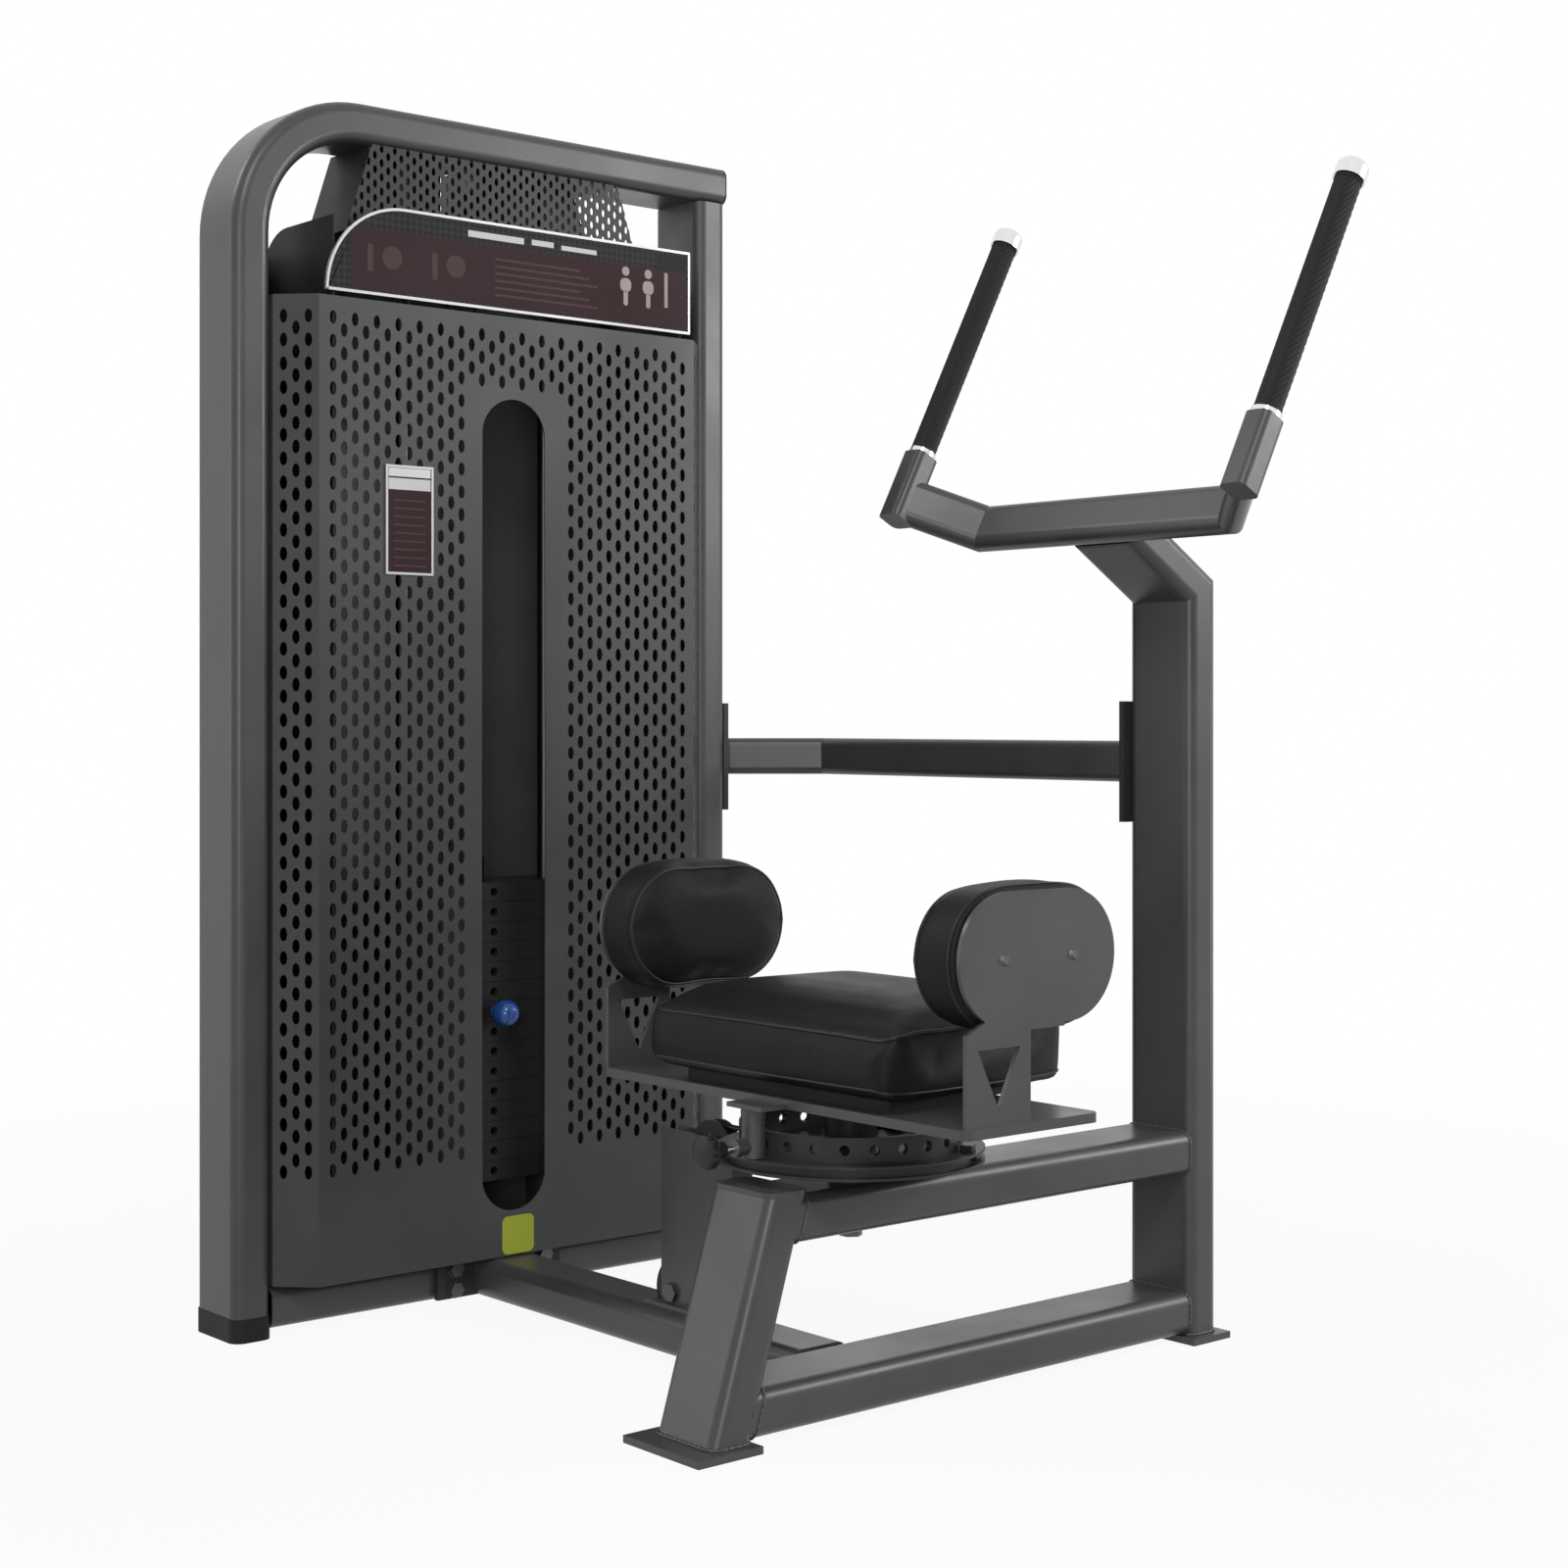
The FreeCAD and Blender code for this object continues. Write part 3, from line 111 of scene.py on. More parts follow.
def seen_directly(tree):
    """1 for what the camera, a mirror or glass shows, and 0 for the light that falls on pieces."""
    ray = add_node(tree, "ShaderNodeLightPath")
    first = add_node(tree, "ShaderNodeMath", operation="MAXIMUM")
    both = add_node(tree, "ShaderNodeMath", operation="MAXIMUM")
    tree.links.new(ray.outputs["Is Camera Ray"], first.inputs[0])
    tree.links.new(ray.outputs["Is Glossy Ray"], first.inputs[1])
    tree.links.new(first.outputs[0], both.inputs[0])
    tree.links.new(ray.outputs["Is Transmission Ray"], both.inputs[1])
    return both.outputs[0]


# %% Floor and surroundings
bpy.ops.object.select_all(action="DESELECT")
bpy.ops.mesh.primitive_plane_add(size=24, location=(0, 0, -0.0005))
floor = bpy.context.object
floor.name = "studio_floor"
floor_paint, tree, shader = new_material("studio_floor")
shader.inputs["Roughness"].default_value = 0.9
seen = seen_directly(tree)
place = add_node(tree, "ShaderNodeTexCoord")
away = add_node(tree, "ShaderNodeVectorMath", operation="LENGTH")
fade = spread(tree, 0.9, 3.0, 0.93, 1.0)
tone = add_node(tree, "ShaderNodeMix", data_type="RGBA")
tone.inputs[6].default_value = (0.22, 0.22, 0.22, 1)
tone.inputs[7].default_value = (0.80, 0.80, 0.80, 1)
glow = add_node(tree, "ShaderNodeEmission", Color=(1, 1, 1, 1), Strength=1.0)
share = add_node(tree, "ShaderNodeMath", operation="MULTIPLY")
mixed = add_node(tree, "ShaderNodeMixShader")
tree.links.new(place.outputs["Object"], away.inputs[0])
tree.links.new(away.outputs["Value"], fade.inputs["Value"])
tree.links.new(seen, share.inputs[0])
tree.links.new(fade.outputs["Result"], share.inputs[1])
tree.links.new(seen, tone.inputs[0])
tree.links.new(tone.outputs[2], shader.inputs["Base Color"])
tree.links.new(share.outputs[0], mixed.inputs[0])
tree.links.new(shader.outputs[0], mixed.inputs[1])
tree.links.new(glow.outputs[0], mixed.inputs[2])
tree.links.new(mixed.outputs[0], tree.nodes["Material Output"].inputs["Surface"])
floor.data.materials.append(floor_paint)

world = bpy.data.worlds.new("studio")
scene.world = world
world.use_nodes = True
tree = world.node_tree
sky = tree.nodes["Background"]
sky.inputs["Color"].default_value = (1, 1, 1, 1)
sky.inputs["Strength"].default_value = 0.03
backdrop = add_node(tree, "ShaderNodeBackground", Color=(1, 1, 1, 1), Strength=1.0)
mixed = add_node(tree, "ShaderNodeMixShader")
tree.links.new(seen_directly(tree), mixed.inputs[0])
tree.links.new(sky.outputs[0], mixed.inputs[1])
tree.links.new(backdrop.outputs[0], mixed.inputs[2])
tree.links.new(mixed.outputs[0], tree.nodes["World Output"].inputs["Surface"])


# %% Soft boxes
def soft_box(name, place, aim, wide, tall, watts):
    """A rectangular studio light that faces a point."""
    lamp = bpy.data.lights.new(name, "AREA")
    lamp.shape = "RECTANGLE"
    lamp.size = wide
    lamp.size_y = tall
    lamp.energy = watts
    holder = bpy.data.objects.new(name, lamp)
    scene.collection.objects.link(holder)
    holder.location = place
    holder.rotation_euler = (Vector(aim) - Vector(place)).to_track_quat("-Z", "Y").to_euler()
    return holder


soft_box("key_light", (3.3, -3.0, 2.2), (0, 0, 0.8), 1.8, 1.8, 100)
soft_box("camera_light", (-3.3, -3.3, 1.3), (0, 0, 0.8), 1.1, 1.4, 50)
soft_box("upper_left_light", (-1.9, -2.7, 3.6), (0.2, -0.2, 1.0), 1.3, 1.3, 60)
soft_box("left_back_strip", (-3.1, 2.7, 1.2), (-0.3, -0.2, 0.4), 1.0, 2.0, 14)
soft_box("left_back_top_light", (-2.4, 2.5, 3.6), (0.1, -0.1, 0.9), 1.2, 1.2, 40)

# %% [markdown]
# ## Finishes
# Nearly everything is powder-coated steel: a charcoal grey with a fine orange-peel skin and a satin
# sheen. It could be one flat colour, but a coat like this has faint clouds in its colour and gloss,
# so noise at two scales drives the colour, the roughness and a very shallow bump. The upholstery is
# black vinyl, whose grain is a cell pattern. The bright parts are chromed, and the grips and feet
# are rubber. All patterns read object coordinates, so they stay put on a piece when it moves.


# %% Coats of paint and plastic
def grained(name, colour, roughness, grain, depth, metallic=0.0, cloud=0.12, coat=0.0, shine=0.2,
            pattern="noise"):
    """A finish with clouds in its colour and gloss and a fine grain, in bumps per metre."""
    material, tree, shader = new_material(name)
    place = add_node(tree, "ShaderNodeTexCoord")
    clouds = add_node(tree, "ShaderNodeTexNoise", Scale=7.0, Detail=4.0, Roughness=0.6)
    tone = spread(tree, 0.3, 0.7, 1.0 - cloud, 1.0 + cloud)
    tint = add_node(tree, "ShaderNodeMix", data_type="RGBA", blend_type="MULTIPLY")
    tint.inputs[0].default_value = 1.0
    tint.inputs[6].default_value = (*colour, 1)
    gloss = spread(tree, 0.3, 0.7, max(roughness - 0.06, 0.02), roughness + 0.06)
    if pattern == "noise":
        skin = add_node(tree, "ShaderNodeTexNoise", Scale=grain, Detail=2.0)
        height = skin.outputs[0]
    else:
        skin = add_node(tree, "ShaderNodeTexVoronoi", feature="DISTANCE_TO_EDGE", Scale=grain)
        crease = spread(tree, 0.0, 0.22, 0.0, 1.0)
        tree.links.new(skin.outputs["Distance"], crease.inputs["Value"])
        height = crease.outputs["Result"]
    bump = add_node(tree, "ShaderNodeBump", Strength=0.6, Distance=depth)
    link = tree.links.new
    link(place.outputs["Object"], clouds.inputs["Vector"])
    link(place.outputs["Object"], skin.inputs["Vector"])
    link(clouds.outputs[0], tone.inputs["Value"])
    link(clouds.outputs[0], gloss.inputs["Value"])
    link(tone.outputs["Result"], tint.inputs[7])
    link(tint.outputs[2], shader.inputs["Base Color"])
    link(gloss.outputs["Result"], shader.inputs["Roughness"])
    link(height, bump.inputs["Height"])
    link(bump.outputs["Normal"], shader.inputs["Normal"])
    shader.inputs["Metallic"].default_value = metallic
    shader.inputs["Coat Weight"].default_value = coat
    shader.inputs["Specular IOR Level"].default_value = shine
    return material


charcoal = grained("charcoal_powder_coat", (0.069, 0.069, 0.070), 0.34, 520, 0.00012, shine=0.4)
cover_grey = grained("cover_powder_coat", (0.058, 0.058, 0.059), 0.40, 520, 0.00010, shine=0.3)
# Near black for the inside of the tower, and painted shade on the header's plain walls.
inside_black_and_painted_shade = grained("inside_black_paint", (0.016, 0.016, 0.017), 0.55, 420, 0.00010)
cast_black = grained("stack_black_paint", (0.018, 0.018, 0.019), 0.45, 300, 0.00025)
# Dark grey for the flanges, the disc and the hub, and painted shade on the header's punched front.
dark_plate_and_painted_shade = grained("dark_plate_and_painted_shade_paint", (0.040, 0.041, 0.043), 0.40, 520, 0.00010)
vinyl = grained("black_vinyl", (0.009, 0.009, 0.009), 0.43, 620, 0.00016, cloud=0.15, shine=0.12,
                pattern="cells")
piping_vinyl = grained("black_piping", (0.020, 0.020, 0.020), 0.38, 700, 0.00008)
rubber = grained("black_rubber", (0.014, 0.014, 0.014), 0.62, 900, 0.00010)
plastic = grained("black_plastic", (0.022, 0.022, 0.023), 0.38, 700, 0.00006)
chrome = grained("polished_chrome", (0.78, 0.78, 0.80), 0.12, 260, 0.00001, metallic=1.0, cloud=0.03)
oiled_steel = grained("oiled_steel", (0.06, 0.06, 0.06), 0.34, 300, 0.00002, metallic=1.0, cloud=0.05)
black_bolt = grained("blackened_steel", (0.10, 0.10, 0.105), 0.36, 500, 0.00006, metallic=0.8)
cable_jacket = grained("cable_jacket", (0.018, 0.018, 0.018), 0.35, 900, 0.00005, coat=0.2)
silver_print = grained("silver_edge", (0.40, 0.40, 0.41), 0.42, 400, 0.00002, metallic=0.6, cloud=0.05)
maroon_print = grained("dark_maroon_print", (0.034, 0.014, 0.017), 0.55, 400, 0.00002, cloud=0.2,
                       shine=0.15)
black_print = grained("black_print", (0.012, 0.010, 0.011), 0.55, 400, 0.00002, shine=0.15)
pale_print = grained("pale_print", (0.46, 0.38, 0.36), 0.55, 400, 0.00002, shine=0.2)
faint_print = grained("faint_print", (0.085, 0.050, 0.050), 0.55, 400, 0.00002, shine=0.15)
white_print = grained("white_print", (0.75, 0.75, 0.75), 0.55, 400, 0.00002, cloud=0.03, shine=0.2)
sticker_green = grained("plain_green_sticker", (0.40, 0.45, 0.05), 0.45, 400, 0.00002, cloud=0.08)
blue_plastic = grained("blue_plastic", (0.020, 0.085, 0.34), 0.22, 500, 0.00002, coat=0.5)
board_wood = grained("black_board", (0.020, 0.018, 0.016), 0.6, 240, 0.0002)


def diamonds(name, dark, pale, size):
    """A plain print of small diamonds, drawn by a checker that is turned by an eighth of a turn."""
    material, tree, shader = new_material(name)
    place = add_node(tree, "ShaderNodeTexCoord")
    turn = add_node(tree, "ShaderNodeMapping")
    turn.inputs["Location"].default_value = (0, 0.31, 0)
    turn.inputs["Rotation"].default_value = (0, math.pi / 4, 0)
    squares = add_node(tree, "ShaderNodeTexChecker", Color1=(*dark, 1), Color2=(*pale, 1),
                       Scale=1 / size)
    tree.links.new(place.outputs["Object"], turn.inputs["Vector"])
    tree.links.new(turn.outputs["Vector"], squares.inputs["Vector"])
    tree.links.new(squares.outputs["Color"], shader.inputs["Base Color"])
    shader.inputs["Roughness"].default_value = 0.55
    shader.inputs["Specular IOR Level"].default_value = 0.15
    return material


diamond_print = diamonds("diamond_print", (0.012, 0.012, 0.012), (0.030, 0.030, 0.030), 0.006)
print("finishes:", len(bpy.data.materials))

# %% Paint the ready-made pieces
finishes = {
    charcoal: ["tower_arch", "tower_right_upright", "tower_base_beam", "floor_beam", "front_leg",
               "main_beam", "seat_beam", "post", "link_bar", "handle_crossbar", "seat_carrier",
               "hip_pad_plates", "foot_plates", "pulley_post", "tower_pulley_ears", "index_pin_guide",
               "front_leg_cap"],
    cover_grey: ["front_shroud", "rear_shroud", "header_panel"],
    inside_black_and_painted_shade: ["tower_liners"],
    cast_black: ["resting_weight_plates", "lifted_weight_plates"],
    dark_plate_and_painted_shade: ["tower_flange", "index_disc", "cable_anchor", "seat_hub", "link_flanges"],
    vinyl: ["seat_pad", "left_hip_pad", "right_hip_pad"],
    rubber: ["grips", "stack_buffers", "tower_feet"],
    plastic: ["top_rail_end_cap", "top_pulley", "base_pulley", "post_pulley_upper", "post_pulley_lower",
              "guide_roller", "index_knob"],
    chrome: ["handle_tubes", "grip_rings", "grip_end_caps", "selector_pin", "index_pin"],
    oiled_steel: ["guide_rods", "selector_stem"],
    black_bolt: ["pulley_axles", "spindle", "frame_bolts", "hip_pad_screws"],
    cable_jacket: ["drive_cable", "stack_cable"],
    black_print: ["instruction_board", "label_plate"],
    sticker_green: ["base_sticker"],
    blue_plastic: ["selector_knob"],
    board_wood: ["seat_board"],
}
painted = 0
for finish, names in finishes.items():
    for name in names:
        nodes[name].data.materials.clear()
        nodes[name].data.materials.append(finish)
        painted += 1
print("pieces painted:", painted, "of", len(nodes))

# %% [markdown]
# ## Tools for shaping
# Every new piece is made as at the bench: a primitive at its place, shaped in edit mode, then
# trimmed with modifiers. These helpers select faces, edges or points by where they are, and hand a
# finished piece to the body that carries it.


# %% Selection and finishing helpers
def clear_selection():
    """Leaves edit mode, if a piece is open, and selects nothing."""
    if bpy.context.object and bpy.context.object.mode != "OBJECT":
        bpy.ops.object.mode_set(mode="OBJECT")
    bpy.ops.object.select_all(action="DESELECT")


def pick(piece):
    """Selects one piece alone and makes it the active one."""
    clear_selection()
    piece.select_set(True)
    bpy.context.view_layer.objects.active = piece


def edit(piece, kind="FACE"):
    """Opens a piece for editing with nothing selected."""
    pick(piece)
    bpy.ops.object.mode_set(mode="EDIT")
    bpy.ops.mesh.select_mode(type=kind)
    bpy.ops.mesh.select_all(action="DESELECT")


def select_where(piece, kind, test):
    """Selects the points, edges or faces whose place passes a test. The piece stays open for editing."""
    bpy.ops.object.mode_set(mode="OBJECT")
    mesh = piece.data
    for part in list(mesh.polygons) + list(mesh.edges) + list(mesh.vertices):
        part.select = False
    count = 0
    if kind == "VERT":
        for point in mesh.vertices:
            point.select = test(point.co)
            count += point.select
    elif kind == "EDGE":
        for edge in mesh.edges:
            a, b = (mesh.vertices[i].co for i in edge.vertices)
            edge.select = test(a, b)
            count += edge.select
    else:
        for face in mesh.polygons:
            face.select = test(face.center, face.normal)
            count += face.select
    bpy.ops.object.mode_set(mode="EDIT")
    bpy.ops.mesh.select_mode(type=kind)
    return count


def open_at(piece, kind, test):
    """Opens a piece for editing with what passes a test selected."""
    edit(piece, kind)
    return select_where(piece, kind, test)


def close_edit():
    bpy.ops.object.mode_set(mode="OBJECT")


def place_in_mesh(piece):
    """Moves a piece's place, turn and scale into its mesh."""
    pick(piece)
    bpy.ops.object.transform_apply(location=True, rotation=True, scale=True)


def add_modifier(piece, kind, **values):
    """Adds one modifier and applies it."""
    pick(piece)
    made = piece.modifiers.new(kind.lower(), kind)
    for key, value in values.items():
        setattr(made, key, value)
    bpy.ops.object.modifier_apply(modifier=made.name)


def repeat(piece, count, offset, **welding):
    """Repeats a piece in a row, each at a fixed offset in metres from the last."""
    add_modifier(piece, "ARRAY", count=count, use_relative_offset=False, use_constant_offset=True,
                 constant_offset_displace=offset, **welding)


def tidy_normals(piece):
    """Merges doubled points and turns all faces outwards."""
    edit(piece, "VERT")
    bpy.ops.mesh.select_all(action="SELECT")
    bpy.ops.mesh.remove_doubles(threshold=0.00001)
    bpy.ops.mesh.normals_make_consistent(inside=False)
    close_edit()


def smooth(piece, angle=35):
    pick(piece)
    bpy.ops.object.shade_smooth_by_angle(angle=math.radians(angle))


def copy_of(piece, name=None):
    """A copy with its own mesh."""
    twin = piece.copy()
    twin.data = piece.data.copy()
    scene.collection.objects.link(twin)
    if name:
        twin.name = name
    return twin


def join(pieces, name):
    """Makes one object of several."""
    clear_selection()
    for piece in pieces:
        piece.select_set(True)
    bpy.context.view_layer.objects.active = pieces[0]
    if len(pieces) > 1:
        bpy.ops.object.join()
    joined = bpy.context.view_layer.objects.active
    joined.name = name
    return joined


def coat(piece, *materials):
    piece.data.materials.clear()
    for material in materials:
        piece.data.materials.append(material)


def hand_over(piece, body, slot, *replaced):
    """Gives a finished piece its body and hides the ready-made pieces that it stands for. slot is not
    used.
    """
    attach(piece, body)
    if replaced:
        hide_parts(*replaced)
    print(piece.name, len(piece.data.polygons), "faces")


# %% [markdown]
# ## Perforated covers
# The tower's covers are thin sheet, folded along two upright lines and punched with upright oblong
# holes in staggered columns. The holes could be painted on, but light and the dark stack behind
# must show through them. One cell of sheet is made with its hole: a plane's outline and a stretched
# eight-sided ring, bridged. Array modifiers then repeat the cell up a column and across the sheet,
# and Solidify gives the sheet its thickness, hole walls included.

# %% One punched cell
PITCH_X = 15.2
PITCH_Z = 1053.0 / 37
HOLE_WIDE, HOLE_TALL = 9.6, 17.5
FACE_LOW, FACE_TOP = 62.0, 1250.0
ZONE_LOW = 185.0
ROWS = 37


def punched_cell():
    """A flat cell in the XZ plane, its lower left corner at the origin, with the hole in its middle."""
    clear_selection()
    bpy.ops.mesh.primitive_plane_add(size=1, rotation=(math.pi / 2, 0, 0))
    cell = bpy.context.object
    cell.scale = (PITCH_X * MM, PITCH_Z * MM, 1)
    place_in_mesh(cell)
    edit(cell, "VERT")
    bpy.ops.mesh.select_all(action="SELECT")
    bpy.ops.mesh.subdivide(number_cuts=1)
    select_where(cell, "VERT", lambda p: p.length < 0.0001)
    bpy.ops.mesh.delete(type="VERT")
    bpy.ops.mesh.select_all(action="DESELECT")
    bpy.ops.mesh.primitive_circle_add(vertices=8, radius=0.5, rotation=(math.pi / 2, 0, 0))
    bpy.ops.transform.resize(value=(HOLE_WIDE * MM, 1, HOLE_TALL * MM), center_override=(0, 0, 0))
    bpy.ops.mesh.select_all(action="SELECT")
    bpy.ops.mesh.select_mode(type="EDGE")
    bpy.ops.mesh.bridge_edge_loops()
    bpy.ops.mesh.select_all(action="SELECT")
    bpy.ops.transform.translate(value=(PITCH_X * MM / 2, 0, PITCH_Z * MM / 2))
    close_edit()
    return cell


def plain_sheet(x0, x1, z0, z1):
    """A flat rectangle of sheet in the XZ plane, in millimetres."""
    clear_selection()
    middle = ((x0 + x1) / 2 * MM, 0, (z0 + z1) / 2 * MM)
    bpy.ops.mesh.primitive_plane_add(size=1, rotation=(math.pi / 2, 0, 0), location=middle)
    sheet = bpy.context.object
    sheet.scale = ((x1 - x0) * MM, (z1 - z0) * MM, 1)
    place_in_mesh(sheet)
    return sheet


def punched_field(x0, columns, z0, rows, first_column):
    """Punched columns. Every second one stands half a cell higher, between two plain half cells."""
    made = []
    for parity in (0, 1):
        count = len([k for k in range(columns) if (first_column + k) % 2 == parity])
        if not count:
            continue
        start = 0 if first_column % 2 == parity else 1
        shifted = parity == 1
        column = punched_cell()
        repeat(column, rows - 1 if shifted else rows, (0, 0, PITCH_Z * MM), use_merge_vertices=True,
               merge_threshold=0.00001)
        parts = [column]
        if shifted:
            column.location.z = PITCH_Z * MM / 2
            place_in_mesh(column)
            parts.append(plain_sheet(0, PITCH_X, 0, PITCH_Z / 2))
            parts.append(plain_sheet(0, PITCH_X, (rows - 0.5) * PITCH_Z, rows * PITCH_Z))
        column = join(parts, "column")
        repeat(column, count, (2 * PITCH_X * MM, 0, 0))
        column.location = (x0 * MM + start * PITCH_X * MM, 0, z0 * MM)
        place_in_mesh(column)
        made.append(column)
    return join(made, "punched_field")


trial = punched_cell()
print("faces in a cell:", len(trial.data.polygons))
bpy.data.objects.remove(trial)

# %% [markdown]
# The front cover has a tall round-ended slot in its face, through which the weight plates and the
# selector pin are reached. A strip of plain sheet runs down both sides of it. The slot is drawn on
# a plain rectangle: a circle's two halves are pulled apart, and the outline between the slot and
# the rectangle is bridged.

# %% The slotted strip
SLOT_X, SLOT_WIDE = 370.0, 97.0
SLOT_LOW, SLOT_TOP = 119.0, 1146.0


def slotted_strip(x0, x1, z0, z1):
    """A plain strip of sheet with the round-ended slot, in the XZ plane."""
    clear_selection()
    middle_z = (SLOT_LOW + SLOT_TOP) / 2
    bpy.ops.mesh.primitive_circle_add(vertices=32, radius=SLOT_WIDE / 2 * MM,
                                      rotation=(math.pi / 2, 0, 0),
                                      location=(SLOT_X * MM, 0, middle_z * MM))
    strip = bpy.context.object
    place_in_mesh(strip)
    stretch = (SLOT_TOP - SLOT_LOW - SLOT_WIDE) / 2 * MM
    edit(strip, "VERT")
    for side in (-1, 1):
        select_where(strip, "VERT", lambda p: (p.z - middle_z * MM) * side > 0.0001)
        bpy.ops.transform.translate(value=(0, 0, side * stretch))
    bpy.ops.mesh.select_all(action="SELECT")
    bpy.ops.mesh.extrude_edges_move()
    outer = set()
    close_edit()
    lows = {}
    for point in strip.data.vertices:
        key = (round(point.co.x, 6), round(point.co.z, 6))
        lows.setdefault(key, []).append(point.index)
    for pair in lows.values():
        outer.add(max(pair))
    half_x = SLOT_WIDE / 2 * MM
    for index in outer:
        point = strip.data.vertices[index]
        across = (point.co.x - SLOT_X * MM) / half_x
        side = 1 if point.co.z > middle_z * MM else -1
        rise = (abs(point.co.z - middle_z * MM) - stretch) / half_x
        if rise <= 0.0001:
            goal = (x1 if across > 0 else x0, point.co.z / MM)
        elif abs(across) > rise:
            edge = SLOT_TOP - SLOT_WIDE / 2 if side > 0 else SLOT_LOW + SLOT_WIDE / 2
            far = z1 if side > 0 else z0
            goal = (x1 if across > 0 else x0, edge + (far - edge) * rise / abs(across))
        else:
            reach = x1 - SLOT_X if across > 0 else SLOT_X - x0
            goal = (SLOT_X + reach * across / rise, z1 if side > 0 else z0)
        point.co.x = goal[0] * MM
        point.co.z = goal[1] * MM
    return strip


# %% Front cover
FACE_LEFT, FACE_RIGHT = 90.0, 660.0
TUBE_LEFT, TUBE_RIGHT = 50.0, 700.0
FACE_Y = -40.0
LIP = 23.5
FACE_COLUMNS = 36
SIDE_MARGIN = (FACE_RIGHT - FACE_LEFT - FACE_COLUMNS * PITCH_X) / 2
CHEEK = math.hypot(FACE_LEFT - TUBE_LEFT, FACE_Y)
CHEEK_COLUMNS = 3
STRIP_FIRST, STRIP_LAST = 13, 23
STRIP_ROWS = 34
ZONE_TOP = ZONE_LOW + ROWS * PITCH_Z


def cheek():
    """One slanted side of the cover, laid flat from x = 0 to its width."""
    margin = (CHEEK - CHEEK_COLUMNS * PITCH_X) / 2
    parts = [plain_sheet(0, CHEEK, FACE_LOW, ZONE_LOW),
             plain_sheet(0, margin, ZONE_LOW, ZONE_TOP),
             plain_sheet(CHEEK - margin, CHEEK, ZONE_LOW, ZONE_TOP),
             plain_sheet(0, CHEEK, ZONE_TOP, FACE_TOP),
             punched_field(margin, CHEEK_COLUMNS, ZONE_LOW, ROWS, 0)]
    return join(parts, "cheek")


def turned(piece, angle, x, y):
    """Turns a flat piece about its left edge and moves it to its fold."""
    piece.rotation_euler = (0, 0, angle)
    piece.location = spot(x, y, 0)
    place_in_mesh(piece)
    return piece


def cover_face():
    """The flat face: punched fields beside and above the slotted strip, in a plain frame."""
    left = FACE_LEFT + SIDE_MARGIN
    strip_left = left + STRIP_FIRST * PITCH_X
    strip_right = left + STRIP_LAST * PITCH_X
    strip_top = ZONE_LOW + STRIP_ROWS * PITCH_Z
    parts = [plain_sheet(FACE_LEFT, left, ZONE_LOW, ZONE_TOP),
             plain_sheet(FACE_RIGHT - SIDE_MARGIN, FACE_RIGHT, ZONE_LOW, ZONE_TOP),
             plain_sheet(FACE_LEFT, FACE_RIGHT, ZONE_TOP, FACE_TOP),
             plain_sheet(FACE_LEFT, strip_left, FACE_LOW, ZONE_LOW),
             plain_sheet(strip_right, FACE_RIGHT, FACE_LOW, ZONE_LOW),
             slotted_strip(strip_left, strip_right, FACE_LOW, strip_top),
             punched_field(left, STRIP_FIRST, ZONE_LOW, ROWS, 0),
             punched_field(strip_right, FACE_COLUMNS - STRIP_LAST, ZONE_LOW, ROWS, STRIP_LAST),
             punched_field(strip_left, STRIP_LAST - STRIP_FIRST, strip_top, ROWS - STRIP_ROWS,
                           STRIP_FIRST)]
    face = join(parts, "face")
    face.location = spot(0, FACE_Y, 0)
    place_in_mesh(face)
    return face


def thicken(piece, outward, thick=0.002):
    """Turns all of a sheet's faces outwards and gives it thickness on the inside."""
    edit(piece, "FACE")
    wrong = select_where(piece, "FACE", lambda c, n: n.dot(outward(c)) < -0.01)
    if wrong:
        bpy.ops.mesh.flip_normals()
    close_edit()
    add_modifier(piece, "SOLIDIFY", thickness=thick, offset=-1, use_rim=True)


def out_of_cover(c):
    """Direction out of the tower at a point of the front cover."""
    x = c.x / MM + MIDDLE_X
    side = -1.0 if x < CENTRE_X else 1.0
    slanted = x < FACE_LEFT - 0.1 or x > FACE_RIGHT + 0.1
    return Vector((side if slanted else 0.0, -1.0, 0.0))


lips = [turned(plain_sheet(0, LIP, FACE_LOW, FACE_TOP), math.pi / 2, x, 0)
        for x in (TUBE_LEFT, TUBE_RIGHT)]
front_cover = join([cover_face(), turned(cheek(), -math.pi / 4, TUBE_LEFT, 0),
                    turned(cheek(), math.pi / 4, FACE_RIGHT, FACE_Y)] + lips, "front_cover")
tidy_normals(front_cover)
thicken(front_cover, out_of_cover)
coat(front_cover, cover_grey)
hand_over(front_cover, "frame", "charcoal_frame", "front_shroud")

# %% [markdown]
# The header under the top rail is a shallow folded box that hides the top pulley. Its front is the
# same punched sheet, with finer holes, and wider below than above: a field of smaller cells is laid
# over it and the slanted ends are cut with bisect. The front is painted dark grey, which is painted
# shade from the top rail. Its left side, back and top are plain sheet, notched for the pulley, and
# painted near black, which is painted shade too. They are made flat, moved to their places, joined
# and thickened.

# %% Header box
HEADER_LOW, HEADER_TOP = 1340.0, 1450.0
HEADER_MIDDLE = 375.0
HALF_LOW, HALF_TOP = 224.0, 188.0
SHEET = 2.0
HEADER_COLUMNS, HEADER_ROWS = 48, 7
FINE = 0.62


def cut_off(piece, place, normal):
    """Cuts away what lies beyond a plane, on the side that the normal points to."""
    edit(piece, "VERT")
    bpy.ops.mesh.select_all(action="SELECT")
    bpy.ops.mesh.bisect(plane_co=place, plane_no=normal, clear_outer=True, use_fill=False)
    close_edit()


